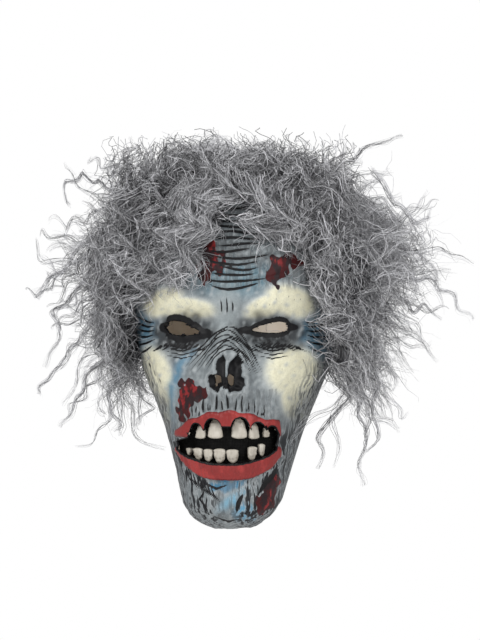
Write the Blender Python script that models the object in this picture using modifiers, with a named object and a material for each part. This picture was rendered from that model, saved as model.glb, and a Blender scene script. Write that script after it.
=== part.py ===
"""Overhead latex mask: a thin cast skin with eye holes and an open mouth, separate teeth, a gauze
panel behind the mouth, and six sections of crimped synthetic hair that hang from sewn wefts.

The face looks towards -Y and +X is the right side seen from the front. Heights in this file start at
the lowest point of the chin. The frame empty then moves everything, so that the world origin is the
inside of the crown, where the wearer's head carries the mask. Sizes are in metres.
"""

import math

import bmesh
import bpy
import numpy as np
from mathutils import Vector

MM = 0.001

# Latex skin
HEAD_HEIGHT = 292 * MM
WALL = 2 * MM
CHIN_ROUND = 22 * MM
CROWN_FROM = 200 * MM
CENTRE_Y = 2 * MM
CHIN_Y = -30 * MM
SQUARENESS = 2.2
SKIN_MERIDIANS = 44
SKIN_RINGS = 28
FRONT_DENSITY = 0.35
HEM_FRONT = Vector((0, -48 * MM, 2 * MM))
HEM_BACK = Vector((0, 80 * MM, 100 * MM))

# Profiles of the head: (height, value) in millimetres
HALF_WIDTH = ((0, 36), (10, 37.5), (19, 40), (46, 47.5), (77, 57), (101, 66.5), (134, 79), (158, 84),
              (185, 86), (200, 86), (292, 86))
FRONT = ((0, -84), (12, -86), (25, -87), (40, -86), (55, -89), (75, -92), (110, -92), (130, -91), (158, -88),
         (180, -92), (200, -94), (292, -94))
BACK = ((0, 0), (30, 24), (60, 52), (90, 71), (110, 80), (134, 89), (158, 96), (185, 100), (292, 100))

# Soft relief of the face: x, height, spread in x, spread in height, rise (all mm); mirrored unless x is 0
RELIEF = (
    (0, 122, 12, 17, 11),
    (0, 148, 7, 18, 5),
    (38, 180, 22, 8, 6),
    (34, 158, 15, 9, -7),
    (52, 130, 16, 15, 4),
    (0, 72, 34, 24, 4),
    (0, 20, 22, 12, 3),
    (66, 182, 10, 16, -3),
)

# Openings in the skin: x, height, half length, half height (mm)
EYE_HOLES = {"left": (-34.5, 158.5, 15.2, 6.6), "right": (34.5, 159.5, 15.2, 5.6)}
NOSTRILS = {"left": (-9.5, 117, 1.9, 4.2), "right": (8.5, 118, 1.9, 4.2)}
MOUTH_X = -1 * MM
MOUTH_Z = 70.5 * MM
MOUTH_HALF_WIDTH = 42 * MM
MOUTH_HALF_HEIGHT = 16 * MM
CUTTER_LENGTH = 90 * MM

# Teeth: centre x, width, top height, bottom height (mm); roots reach on behind the lips
UPPER_TEETH = ((-23, 9.3, 84, 72), (-9.6, 12.3, 88, 72.5), (11.7, 12.6, 89, 72.5), (24.5, 9.6, 85, 72),
               (34.4, 6, 82, 73))
LOWER_TEETH = ((-35, 6.2, 64, 58), (-25.8, 9, 64.5, 55), (-16.1, 8.2, 64, 54), (-5.6, 9.5, 64.5, 53),
               (5.5, 9.8, 64, 53), (22.4, 8.1, 66, 55), (30.5, 5.9, 68, 58))
TOOTH_THICKNESS = 4.5 * MM
TOOTH_ROOT = 5 * MM
TOOTH_SET_BACK = 1.2 * MM
TOOTH_GUM_WIDTH = 0.8
TOOTH_ROUNDING = 1.3 * MM

# Gauze panel behind the mouth
GAUZE_BOTTOM = 46 * MM
GAUZE_TOP = 100 * MM
GAUZE_SPAN = 0.86
GAUZE_RIM_DEPTH = WALL + 0.8 * MM
GAUZE_DISH = 8.5 * MM
GAUZE_SLOPE = 0.17
GAUZE_THICKNESS = 0.8 * MM

# Wefts: sewn strips on the scalp
WEFT_LIFT = 1.1 * MM
WEFT_THICKNESS = 1.4 * MM
WEFT_WIDTH = 9 * MM
WEFT_SIDE_GAP = 1 * MM
WEFT_END_GAP = 4 * MM
WEFT_FROM_HINGE = 7 * MM

# Hair sections. Each hinge line is the stitched edge of its weft.
SIDE_HINGE_X = 59 * MM
SIDE_HINGE_Z = 272.5 * MM
FRINGE_HINGE_Y = -62 * MM
FRINGE_HINGE_Z = 273 * MM
BACK_HINGE_Y = 66 * MM
BACK_HINGE_Z = 274 * MM
HAIR_LIFT = 4 * MM
INNER_HALF_WIDTH = 56.5 * MM
PARTING_X = 3 * MM
CROWN_FRONT = -57 * MM
CROWN_BACK = 61 * MM
CROWN_TOP = 319 * MM
CROWN_SIDE_DROP = 10 * MM
CROWN_END_DROP = 16 * MM

# Outlines of the hanging sections, out from the hinge and down: (distance from the head's axis, height), mm
SIDE_INNER = ((61, 271), (70, 260.5), (80, 244), (87, 224.5), (90, 202), (90, 180), (89, 158), (88, 135),
              (88, 118), (91, 108))
SIDE_OUTER = ((66, 278), (88, 294), (112, 287), (128, 265), (136, 238), (139, 208), (136, 178), (130, 148),
              (117, 121), (102, 108))
FRINGE_INNER = ((64, 272), (74, 262.5), (84, 249), (93, 231), (99, 212))
FRINGE_OUTER = ((68, 280), (86, 291), (104, 280), (113, 256), (114, 228))
BACK_INNER = ((68, 274), (79, 264), (89, 251), (98, 233), (103, 213), (105, 190), (103, 160), (101, 135),
              (100, 112))
BACK_OUTER = ((72, 280), (91, 290), (112, 280), (126, 258), (133, 230), (135, 200), (133, 170), (127, 140),
              (116, 112))
FRINGE_DROP = 16 * MM
FRINGE_LEVEL_AT = 0.35
SIDE_FRONT = -60 * MM
SIDE_BACK = 85 * MM
SIDE_THINNING = 0.22
BACK_THINNING = 0.15

# Free locks: name, radius, route as (x, y, height), all mm; the first point is at the section's surface
LOCKS = (
    ("lock_left_loop", 1.8, ((-122, -20, 284), (-131, -24, 284), (-141, -28, 273), (-134, -30, 258))),
    ("lock_left_wisp", 1.6, ((-142, -30, 207), (-152, -38, 199), (-161, -44, 188))),
    ("lock_left_curl", 2.0, ((-141, -10, 181), (-152, -16, 172), (-145, -20, 158), (-151, -14, 145),
                             (-162, -8, 127))),
    ("lock_left_tip", 1.8, ((-136, -26, 140), (-147, -30, 124), (-160, -30, 111), (-162, -26, 104))),
    ("lock_left_straight", 2.6, ((-120, -40, 118), (-124, -46, 104), (-131, -50, 92), (-138, -52, 78))),
    ("lock_left_curly", 2.2, ((-104, -30, 104), (-101, -34, 92), (-94, -32, 82), (-98, -28, 74))),
    ("lock_right_top", 2.0, ((96, -16, 297), (113, -20, 309), (138, -22, 316))),
    ("lock_right_upper", 1.8, ((138, -26, 255), (150, -30, 246), (158, -30, 248), (161, -28, 257))),
    ("lock_right_long", 1.8, ((142, -30, 202), (160, -38, 197), (178, -42, 184), (193, -44, 165))),
    ("lock_right_curly", 2.0, ((140, -6, 180), (148, -10, 173), (156, -12, 179), (169, -16, 166))),
    ("lock_right_front", 2.4, ((95, -44, 104), (87, -50, 92), (71, -48, 74), (75, -46, 62), (71, -44, 46))),
    ("lock_right_hanging", 2.4, ((104, -20, 104), (103, -24, 88), (110, -24, 69), (103, -20, 52),
                                 (106, -18, 30))),
    ("lock_right_lower", 2.2, ((119, -36, 118), (114, -40, 100), (118, -38, 73), (110, -34, 59))),
)


def clear_scene():
    for obj in list(bpy.data.objects):
        bpy.data.objects.remove(obj)


def new_collection(name):
    collection = bpy.data.collections.new(name)
    bpy.context.scene.collection.children.link(collection)
    return collection


def material(name, colour, roughness, metallic=0.0):
    made = bpy.data.materials.new(name)
    made.use_nodes = True
    shader = made.node_tree.nodes["Principled BSDF"]
    shader.inputs["Base Color"].default_value = (*colour, 1)
    shader.inputs["Roughness"].default_value = roughness
    shader.inputs["Metallic"].default_value = metallic
    return made


def through(points, at):
    """A smooth curve without overshoot through (place, value) points, in metres."""
    places = np.array([place for place, _ in points], float)
    values = np.array([value for _, value in points], float)
    steps = np.diff(places)
    slopes = np.diff(values) / steps
    tangents = np.zeros(len(places))
    same = slopes[:-1] * slopes[1:] > 0
    middle = np.where(same, slopes[:-1] + slopes[1:], 1)
    tangents[1:-1] = np.where(same, 2 * slopes[:-1] * slopes[1:] / middle, 0)
    place = min(max(at / MM, places[0]), places[-1])
    i = min(int(np.searchsorted(places, place, side="right")) - 1, len(steps) - 1)
    t = (place - places[i]) / steps[i]
    rise = (1 + 2 * t) * (1 - t) ** 2 * values[i] + t * t * (3 - 2 * t) * values[i + 1]
    turn = t * (1 - t) ** 2 * tangents[i] - t * t * (1 - t) * tangents[i + 1]
    return (rise + turn * steps[i]) * MM


def rounding(height):
    """How much of its full section the head keeps at a height: less in the chin and the crown."""
    if height > CROWN_FROM:
        return math.sqrt(max(0, 1 - ((height - CROWN_FROM) / (HEAD_HEIGHT - CROWN_FROM)) ** 2))
    if height < CHIN_ROUND:
        return math.sqrt(max(0, 1 - ((CHIN_ROUND - height) / CHIN_ROUND) ** 2))
    return 1.0


def section(height):
    """Half width, middle and half depth of the head's oval section at a height."""
    keep = rounding(height)
    front, back = through(FRONT, height), through(BACK, height)
    pole = CHIN_Y if height < CHIN_ROUND else CENTRE_Y
    front = pole + (front - pole) * keep
    back = pole + (back - pole) * keep
    return through(HALF_WIDTH, height) * keep, (front + back) / 2, (back - front) / 2


def relief(x, height):
    total = 0.0
    for at_x, at_z, spread_x, spread_z, rise in RELIEF:
        for side in {-1, 1} if at_x else {1}:
            away = ((x / MM - side * at_x) / spread_x) ** 2 + ((height / MM - at_z) / spread_z) ** 2
            total += rise * math.exp(-0.5 * away)
    return total * MM


def head_point(bearing, height):
    """The outer surface at a bearing (0 is straight ahead) and a height."""
    half_width, middle, half_depth = section(height)
    power = 2 / SQUARENESS
    sideways, ahead = math.sin(bearing), math.cos(bearing)
    x = half_width * math.copysign(abs(sideways) ** power, sideways)
    y = middle - half_depth * math.copysign(abs(ahead) ** power, ahead)
    return Vector((x, y - relief(x, height) * max(0, ahead) ** 0.5, height))


def front_depth(x, height):
    """The y of the face at (x, height)."""
    half_width, middle, half_depth = section(height)
    across = min(abs(x) / half_width, 0.995)
    ahead = (1 - across ** SQUARENESS) ** (1 / SQUARENESS)
    facing = ahead ** (SQUARENESS / 4)
    return middle - half_depth * ahead - relief(x, height) * facing


def front_normal(x, height):
    step = 0.5 * MM
    slope_x = (front_depth(x + step, height) - front_depth(x - step, height)) / (2 * step)
    slope_z = (front_depth(x, height + step) - front_depth(x, height - step)) / (2 * step)
    return Vector((slope_x, -1, slope_z)).normalized()


def behind_face(x, height, depth):
    """The point this deep behind the face's surface, measured square to it."""
    return Vector((x, front_depth(x, height), height)) - front_normal(x, height) * depth


def add_mesh(name, made, collection, finish, frame=None):
    made.normal_update()
    bmesh.ops.recalc_face_normals(made, faces=made.faces)
    mesh = bpy.data.meshes.new(name)
    made.to_mesh(mesh)
    made.free()
    mesh.materials.append(finish)
    mesh.shade_smooth()
    mesh.set_sharp_from_angle(angle=math.radians(40))
    obj = bpy.data.objects.new(name, mesh)
    collection.objects.link(obj)
    obj.parent = frame
    return obj


def block(cuts, mapping):
    """A cube cut into a grid and bent by mapping(u, v, w), each from 0 to 1."""
    made = bmesh.new()
    bmesh.ops.create_cube(made, size=1)
    for axis, count in enumerate(cuts):
        along = [edge for edge in made.edges
                 if abs((edge.verts[0].co - edge.verts[1].co)[axis]) > 0.9]
        if count > 1:
            bmesh.ops.subdivide_edges(made, edges=along, cuts=count - 1, use_grid_fill=True)
    for vert in made.verts:
        vert.co = mapping(*(vert.co + Vector((0.5, 0.5, 0.5))))
    return made


def almond_cutter(name, x, height, half_length, half_height, cutters, frame):
    """A pointed oval rod that runs in through the front of the skin."""
    made = bmesh.new()
    bmesh.ops.create_cone(made, cap_ends=True, segments=20, radius1=1, radius2=1, depth=1)
    for vert in made.verts:
        across, up = vert.co.x, vert.co.y
        lid = math.copysign(abs(up) ** 1.35, up)
        run = vert.co.z * CUTTER_LENGTH - CUTTER_LENGTH
        vert.co = Vector((x + across * half_length, run, height + lid * half_height))
    return hide(add_mesh(name, made, cutters, material(name, (0.5, 0.5, 0.5), 0.5), frame))


def hide(cutter):
    cutter.hide_render = True
    cutter.display_type = "WIRE"
    return cutter


def cut(obj, cutter):
    boolean = obj.modifiers.new(cutter.name, "BOOLEAN")
    boolean.operation = "DIFFERENCE"
    boolean.solver = "EXACT"
    boolean.object = cutter


def make_hem_cutter(cutters, frame):
    """A block whose top face is the inclined plane of the hem."""
    made = bmesh.new()
    bmesh.ops.create_cube(made, size=1)
    size = Vector((0.3, 0.5, 0.2))
    for vert in made.verts:
        vert.co = Vector((vert.co.x * size.x, vert.co.y * size.y, (vert.co.z - 0.5) * size.z))
    cutter = add_mesh("hem_cutter", made, cutters, material("hem_cutter", (0.5, 0.5, 0.5), 0.5), frame)
    run = HEM_BACK - HEM_FRONT
    cutter.rotation_euler.x = math.atan2(run.z, run.y)
    cutter.location = (HEM_FRONT + HEM_BACK) / 2
    return hide(cutter)


def make_skin(parts, cutters, frame):
    made = bmesh.new()
    bmesh.ops.create_uvsphere(made, u_segments=SKIN_MERIDIANS, v_segments=SKIN_RINGS, radius=1)
    for vert in made.verts:
        around = math.atan2(vert.co.x, -vert.co.y)
        bearing = around - FRONT_DENSITY * math.sin(around)
        vert.co = head_point(bearing, HEAD_HEIGHT * (1 + vert.co.z) / 2)
    skin = add_mesh("latex_skin", made, parts, material("painted_latex", (0.35, 0.37, 0.37), 0.5), frame)
    wall = skin.modifiers.new("wall", "SOLIDIFY")
    wall.thickness = WALL
    wall.offset = -1
    cut(skin, make_hem_cutter(cutters, frame))
    for side, hole in EYE_HOLES.items():
        cut(skin, almond_cutter(f"eye_hole_{side}", *(size * MM for size in hole), cutters, frame))
    for side, hole in NOSTRILS.items():
        cut(skin, almond_cutter(f"nostril_{side}", *(size * MM for size in hole), cutters, frame))
    mouth = (MOUTH_X, MOUTH_Z, MOUTH_HALF_WIDTH, MOUTH_HALF_HEIGHT)
    cut(skin, almond_cutter("mouth_opening", *mouth, cutters, frame))


def make_tooth(name, centre, width, top, bottom, upper, enamel, parts, frame):
    """A rounded peg, wider at its biting edge, with its root up or down behind the lip."""
    height = (top - bottom) * MM + TOOTH_ROOT
    middle = (top + bottom) / 2 * MM + (TOOTH_ROOT / 2 if upper else -TOOTH_ROOT / 2)
    made = bmesh.new()
    bmesh.ops.create_cube(made, size=1)
    for vert in made.verts:
        bites = vert.co.z < 0 if upper else vert.co.z > 0
        taper = 1.0 if bites else TOOTH_GUM_WIDTH
        vert.co = Vector((vert.co.x * width * MM * taper, vert.co.y * TOOTH_THICKNESS, vert.co.z * height))
    tooth = add_mesh(name, made, parts, enamel, frame)
    rounded = tooth.modifiers.new("rounded", "BEVEL")
    rounded.width = TOOTH_ROUNDING
    rounded.segments = 2
    normal = front_normal(centre * MM, middle)
    tooth.location = behind_face(centre * MM, middle, WALL + TOOTH_SET_BACK + TOOTH_THICKNESS / 2)
    tooth.rotation_euler.z = math.atan2(normal.x, -normal.y)
    tooth.rotation_euler.x = -math.asin(normal.z)


def make_teeth(parts, frame):
    enamel = material("tooth_enamel", (0.6, 0.56, 0.47), 0.4)
    for number, tooth in enumerate(UPPER_TEETH, 1):
        make_tooth(f"upper_tooth_{number}", *tooth, True, enamel, parts, frame)
    for number, tooth in enumerate(LOWER_TEETH, 1):
        make_tooth(f"lower_tooth_{number}", *tooth, False, enamel, parts, frame)


def make_gauze(parts, frame):
    """A panel on the inside of the face, dished inwards to clear the teeth."""

    def place(u, v, w):
        height = GAUZE_BOTTOM + (GAUZE_TOP - GAUZE_BOTTOM) * v
        half_span = section(height)[0] * GAUZE_SPAN
        rim = max(abs(2 * u - 1), abs(2 * v - 1))
        dish = GAUZE_DISH * min(1, (1 - rim) / GAUZE_SLOPE)
        return behind_face((2 * u - 1) * half_span, height, GAUZE_RIM_DEPTH + dish + w * GAUZE_THICKNESS)

    panel = block((18, 12, 1), place)
    return add_mesh("mouth_gauze", panel, parts, material("black_gauze", (0.02, 0.02, 0.02), 0.9), frame)


def over_scalp(across, along, lift):
    """The point on the crown's oval, raised by lift, above (across, along) seen from the top."""
    edge = through(FRONT if along < CENTRE_Y else BACK, CROWN_FROM)
    depth = abs(edge - CENTRE_Y) + lift
    half_width = through(HALF_WIDTH, CROWN_FROM) + lift
    out = (abs(across) / half_width) ** SQUARENESS + (abs(along - CENTRE_Y) / depth) ** SQUARENESS
    share = max(0, 1 - out ** (2 / SQUARENESS))
    return Vector((across, along, CROWN_FROM + (HEAD_HEIGHT - CROWN_FROM + lift) * math.sqrt(share)))


def make_weft(name, start, end, fabric, parts, frame):
    """A sewn strip on the scalp between two (across, along) places."""
    start, end = Vector(start), Vector(end)
    run = (end - start).normalized()
    beside = Vector((-run.y, run.x)) * WEFT_WIDTH

    def place(u, v, w):
        spot = start.lerp(end, u) + beside * (v - 0.5)
        return over_scalp(spot.x, spot.y, WEFT_LIFT + w * WEFT_THICKNESS)

    return add_mesh(name, block((10, 2, 1), place), parts, fabric, frame)


def make_wefts(parts, frame):
    fabric = material("weft_tape", (0.12, 0.12, 0.12), 0.9)
    side_x = SIDE_HINGE_X - WEFT_FROM_HINGE
    front_y = FRINGE_HINGE_Y + WEFT_FROM_HINGE
    back_y = BACK_HINGE_Y - WEFT_FROM_HINGE
    inner = side_x - WEFT_WIDTH / 2 - WEFT_SIDE_GAP
    side_from, side_to = front_y + WEFT_END_GAP, back_y - WEFT_END_GAP
    crown_from, crown_to = front_y + WEFT_WIDTH, back_y - WEFT_WIDTH
    left_edge, right_edge = PARTING_X - WEFT_SIDE_GAP, PARTING_X + WEFT_SIDE_GAP
    make_weft("weft_crown", (PARTING_X, crown_from), (PARTING_X, crown_to), fabric, parts, frame)
    make_weft("weft_left", (-side_x, side_from), (-side_x, side_to), fabric, parts, frame)
    make_weft("weft_right", (side_x, side_from), (side_x, side_to), fabric, parts, frame)
    make_weft("weft_fringe_left", (-inner, front_y), (left_edge, front_y), fabric, parts, frame)
    make_weft("weft_fringe_right", (right_edge, front_y), (inner, front_y), fabric, parts, frame)
    make_weft("weft_back", (-inner, back_y), (inner, back_y), fabric, parts, frame)


def along_outline(points, share):
    """The point at a share (0 to 1) of the way down an outline of evenly numbered points."""
    place = share * (len(points) - 1)
    i = min(int(place), len(points) - 2)
    first, second = Vector(points[i]), Vector(points[i + 1])
    return first.lerp(second, place - i) * MM


def make_crown_hair(hair, parts, frame):
    def place(u, v, w):
        across = (2 * u - 1) * INNER_HALF_WIDTH
        along = CROWN_FRONT + (CROWN_BACK - CROWN_FRONT) * v
        low = over_scalp(across, along, HAIR_LIFT).z
        high = CROWN_TOP - CROWN_SIDE_DROP * (2 * u - 1) ** 2 - CROWN_END_DROP * (2 * v - 1) ** 2
        return Vector((across, along, low + (high - low) * w))

    return add_mesh("hair_crown", block((8, 8, 2), place), parts, hair, frame)


def hinge_empty(name, location, parts, frame):
    empty = bpy.data.objects.new(name, None)
    parts.objects.link(empty)
    empty.empty_display_size = 20 * MM
    empty.location = location
    empty.parent = frame
    return empty


def make_side_hair(side, sign, hair, parts, frame):
    hinge = Vector((sign * SIDE_HINGE_X, 0, SIDE_HINGE_Z))
    pivot = hinge_empty(f"hinge_{side}", hinge, parts, frame)

    def place(u, v, w):
        inner, outer = along_outline(SIDE_INNER, v), along_outline(SIDE_OUTER, v)
        spread = 1 - SIDE_THINNING * (2 * u - 1) ** 2
        spot = inner.lerp(outer, w * spread)
        along = SIDE_FRONT + (SIDE_BACK - SIDE_FRONT) * u
        return Vector((sign * spot.x, along, spot.y)) - hinge

    count = len(SIDE_INNER) - 1
    add_mesh(f"hair_{side}", block((6, count, 1), place), parts, hair, pivot)
    for name, radius, route in LOCKS:
        if name.startswith(f"lock_{side}"):
            make_lock(name, radius, route, hinge, hair, parts, pivot)


def make_fringe_hair(side, low_x, high_x, hair, parts, frame):
    """The front section, longer towards the temple than at the parting."""
    hinge = Vector(((low_x + high_x) / 2, FRINGE_HINGE_Y, FRINGE_HINGE_Z))
    pivot = hinge_empty(f"hinge_fringe_{side}", hinge, parts, frame)

    def place(u, v, w):
        inner, outer = along_outline(FRINGE_INNER, v), along_outline(FRINGE_OUTER, v)
        spot = inner.lerp(outer, w)
        x = low_x + (high_x - low_x) * u
        drop = FRINGE_DROP * v * v * (abs(x) / INNER_HALF_WIDTH - FRINGE_LEVEL_AT)
        return Vector((x, -spot.x, spot.y - drop)) - hinge

    add_mesh(f"hair_fringe_{side}", block((4, len(FRINGE_INNER) - 1, 1), place), parts, hair, pivot)


def make_back_hair(hair, parts, frame):
    hinge = Vector((0, BACK_HINGE_Y, BACK_HINGE_Z))
    pivot = hinge_empty("hinge_back", hinge, parts, frame)

    def place(u, v, w):
        inner, outer = along_outline(BACK_INNER, v), along_outline(BACK_OUTER, v)
        spot = inner.lerp(outer, w * (1 - BACK_THINNING * (2 * u - 1) ** 2))
        return Vector(((2 * u - 1) * INNER_HALF_WIDTH, spot.x, spot.y)) - hinge

    add_mesh("hair_back", block((6, len(BACK_INNER) - 1, 1), place), parts, hair, pivot)


def smooth_route(points, steps):
    """Points of a smooth curve through the given ones."""
    padded = [2 * points[0] - points[1], *points, 2 * points[-1] - points[-2]]
    route = [points[0]]
    for before, start, end, after in zip(padded, padded[1:], padded[2:], padded[3:]):
        for step in range(1, steps + 1):
            t = step / steps
            bend = (2 * before - 5 * start + 4 * end - after) * t * t
            twist = (3 * start - before - 3 * end + after) * t ** 3
            route.append((2 * start + (end - before) * t + bend + twist) / 2)
    return route


def make_lock(name, radius, route, hinge, hair, parts, pivot):
    """A free lock: a tapering tube along a smooth route."""
    points = smooth_route([Vector(point) * MM - hinge for point in route], 3)
    curve = bpy.data.curves.new(name, "CURVE")
    curve.dimensions = "3D"
    curve.bevel_depth = radius * MM
    curve.bevel_resolution = 1
    curve.use_fill_caps = True
    spline = curve.splines.new("POLY")
    spline.points.add(len(points) - 1)
    for i, (spot, point) in enumerate(zip(points, spline.points)):
        point.co = (*spot, 1)
        point.radius = 1 - 0.6 * i / (len(points) - 1)
    curve.materials.append(hair)
    lock = bpy.data.objects.new(name, curve)
    parts.objects.link(lock)
    lock.parent = pivot


def main():
    clear_scene()
    parts = new_collection("latex_mask")
    cutters = new_collection("cutters")
    frame = bpy.data.objects.new("head_seat_frame", None)
    parts.objects.link(frame)
    frame.location = (0, -CENTRE_Y, WALL - HEAD_HEIGHT)
    make_skin(parts, cutters, frame)
    make_teeth(parts, frame)
    make_gauze(parts, frame)
    make_wefts(parts, frame)
    hair = material("crimped_hair", (0.22, 0.22, 0.23), 0.6)
    make_crown_hair(hair, parts, frame)
    make_side_hair("left", -1, hair, parts, frame)
    make_side_hair("right", 1, hair, parts, frame)
    make_fringe_hair("left", -INNER_HALF_WIDTH, PARTING_X - WEFT_SIDE_GAP, hair, parts, frame)
    make_fringe_hair("right", PARTING_X + WEFT_SIDE_GAP, INNER_HALF_WIDTH, hair, parts, frame)
    make_back_hair(hair, parts, frame)


main()
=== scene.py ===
import math

import bmesh
import bpy
import numpy as np
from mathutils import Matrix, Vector


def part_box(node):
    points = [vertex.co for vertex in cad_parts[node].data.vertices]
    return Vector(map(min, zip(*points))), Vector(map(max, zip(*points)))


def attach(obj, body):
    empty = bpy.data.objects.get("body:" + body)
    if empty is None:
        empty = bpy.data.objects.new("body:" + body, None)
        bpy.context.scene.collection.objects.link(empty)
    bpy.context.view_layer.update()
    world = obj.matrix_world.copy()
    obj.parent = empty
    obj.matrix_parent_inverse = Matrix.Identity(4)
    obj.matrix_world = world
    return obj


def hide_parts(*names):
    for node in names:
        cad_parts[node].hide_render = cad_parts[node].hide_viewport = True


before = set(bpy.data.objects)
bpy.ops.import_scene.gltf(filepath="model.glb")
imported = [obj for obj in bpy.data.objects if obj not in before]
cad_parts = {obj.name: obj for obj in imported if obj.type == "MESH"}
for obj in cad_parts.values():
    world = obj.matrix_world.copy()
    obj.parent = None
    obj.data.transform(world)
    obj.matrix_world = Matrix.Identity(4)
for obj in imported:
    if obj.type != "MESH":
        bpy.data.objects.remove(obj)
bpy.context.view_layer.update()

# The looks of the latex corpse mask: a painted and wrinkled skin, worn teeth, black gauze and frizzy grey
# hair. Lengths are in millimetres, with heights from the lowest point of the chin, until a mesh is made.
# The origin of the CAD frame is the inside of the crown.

HEAD_SEAT = np.array([0.0, 2.0, 290.0])
MM = 0.001

# The head's shape, the same as the CAD skin's
HEAD_HEIGHT = 292.0
WALL = 2.0
CHIN_ROUND = 22.0
CROWN_FROM = 200.0
CENTRE_Y = 2.0
CHIN_Y = -30.0
SQUARENESS = 2.2
HEM_FRONT = np.array([-48.0, 2.0])
HEM_BACK = np.array([80.0, 100.0])
HALF_WIDTH = ((0, 36), (10, 37.5), (19, 40), (46, 47.5), (77, 57), (101, 66.5), (134, 79), (158, 84),
              (185, 86), (200, 86), (292, 86))
FRONT = ((0, -84), (12, -86), (25, -87), (40, -86), (55, -89), (75, -92), (110, -92), (130, -91), (158, -88),
         (180, -92), (200, -94), (292, -94))
BACK = ((0, 0), (30, 24), (60, 52), (90, 71), (110, 80), (134, 89), (158, 96), (185, 100), (292, 100))
RELIEF = (
    (0, 122, 12, 17, 11),
    (0, 148, 7, 18, 5),
    (38, 180, 22, 8, 6),
    (34, 158, 15, 9, -7),
    (52, 130, 16, 15, 4),
    (0, 72, 34, 24, 4),
    (0, 20, 22, 12, 3),
    (66, 182, 10, 16, -3),
)

# Skin mesh
SKIN_COLUMNS = 240
SKIN_ROWS = 300
FRONT_DENSITY = 0.7

# Eye holes and nostrils: x, height, half length, half height, how far the inner corner droops
EYE_HOLES = ((-34.5, 160, 15.2, 7.4, 4.5), (33.5, 160.5, 15.2, 5.8, 2.5))
RIM_RADIUS = 0.6
NOSTRILS = ((-8.5, 118, 3.4, 5.6, 0), (7.5, 118.5, 3.6, 6.0, 0))

# The edge of the gums above the open mouth, without the arches over the teeth: (x, height)
GUM_LINE = ((-41, 69.6), (-36, 71), (-30, 73), (-27, 76), (-16.5, 79), (-3, 82), (5, 82), (18.2, 79.5),
            (29.5, 78.5), (38, 79), (41, 74))

# Teeth: centre x, width, top height, bottom height
UPPER_TEETH = ((-23, 9.3, 84, 72), (-9.6, 12.3, 88, 72.5), (11.7, 12.6, 89, 72.5), (24.5, 9.6, 85, 72),
               (34.4, 6, 82, 73))
LOWER_TEETH = ((-35, 6.2, 64, 58), (-25.8, 9, 64.5, 55), (-16.1, 8.2, 64, 54), (-5.6, 9.5, 64.5, 53),
               (5.5, 9.8, 64, 53), (22.4, 8.1, 66, 55), (30.5, 5.9, 68, 58))
TOOTH_THICKNESS = 4.5
MOUTH_LEFT, MOUTH_RIGHT = -41.0, 41.0

CURL_SEED = 11


# ---- numbers ----------------------------------------------------------------------------------------

def through(points, at):
    """A smooth curve without overshoot through (place, value) points."""
    places = np.array([place for place, _ in points], float)
    values = np.array([value for _, value in points], float)
    steps = np.diff(places)
    slopes = np.diff(values) / steps
    same = slopes[:-1] * slopes[1:] > 0
    middle = np.where(same, slopes[:-1] + slopes[1:], 1)
    tangents = np.zeros(len(places))
    tangents[1:-1] = np.where(same, 2 * slopes[:-1] * slopes[1:] / middle, 0)
    at = np.clip(at, places[0], places[-1])
    i = np.clip(np.searchsorted(places, at, side="right") - 1, 0, len(steps) - 1)
    t = (at - places[i]) / steps[i]
    rise = (1 + 2 * t) * (1 - t) ** 2 * values[i] + t * t * (3 - 2 * t) * values[i + 1]
    turn = t * (1 - t) ** 2 * tangents[i] - t * t * (1 - t) * tangents[i + 1]
    return rise + turn * steps[i]


def smooth(low, high, value):
    t = np.clip((value - low) / (high - low), 0, 1)
    return t * t * (3 - 2 * t)


def noise(x, z, size_x, size_z, seed, waves=14):
    """Smooth noise of about -1 to 1, with features of the given sizes."""
    rng = np.random.default_rng(seed)
    total = np.zeros_like(x, float)
    for _ in range(waves):
        angle, pace, phase = rng.uniform(0, math.tau), rng.uniform(0.45, 1.3), rng.uniform(0, math.tau)
        along = math.cos(angle) * x / size_x + math.sin(angle) * z / size_z
        total += np.sin(math.tau * pace * along + phase)
    return total / math.sqrt(waves)


def srgb(*levels):
    """A linear colour from 0-255 display levels."""
    share = np.array(levels, float) / 255
    return np.where(share <= 0.04045, share / 12.92, ((share + 0.055) / 1.055) ** 2.4)


# ---- head shape -------------------------------------------------------------------------------------

def section(height):
    """Half width, middle and half depth of the head's oval section at each height."""
    crown = np.sqrt(np.clip(1 - ((height - CROWN_FROM) / (HEAD_HEIGHT - CROWN_FROM)) ** 2, 0, 1))
    chin = np.sqrt(np.clip(1 - ((CHIN_ROUND - height) / CHIN_ROUND) ** 2, 0, 1))
    keep = np.where(height > CROWN_FROM, crown, np.where(height < CHIN_ROUND, chin, 1))
    pole = np.where(height < CHIN_ROUND, CHIN_Y, CENTRE_Y)
    front = pole + (through(FRONT, height) - pole) * keep
    back = pole + (through(BACK, height) - pole) * keep
    return through(HALF_WIDTH, height) * keep, (front + back) / 2, (back - front) / 2


def relief(x, height):
    total = np.zeros_like(x, float)
    for at_x, at_z, spread_x, spread_z, rise in RELIEF:
        for side in (-1, 1) if at_x else (1,):
            total += rise * np.exp(-0.5 * (((x - side * at_x) / spread_x) ** 2
                                           + ((height - at_z) / spread_z) ** 2))
    return total


def head_point(bearing, height):
    half_width, middle, half_depth = section(height)
    sideways, ahead = np.sin(bearing), np.cos(bearing)
    x = half_width * np.sign(sideways) * np.abs(sideways) ** (2 / SQUARENESS)
    y = middle - half_depth * np.sign(ahead) * np.abs(ahead) ** (2 / SQUARENESS)
    return x, y - relief(x, height) * np.clip(ahead, 0, 1) ** 0.5


def front_depth(x, height):
    """The y of the face at (x, height)."""
    half_width, middle, half_depth = section(height)
    across = np.minimum(np.abs(x) / np.maximum(half_width, 1e-6), 0.995)
    ahead = (1 - across ** SQUARENESS) ** (1 / SQUARENESS)
    return middle - half_depth * ahead - relief(x, height) * ahead ** (SQUARENESS / 4)


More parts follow.
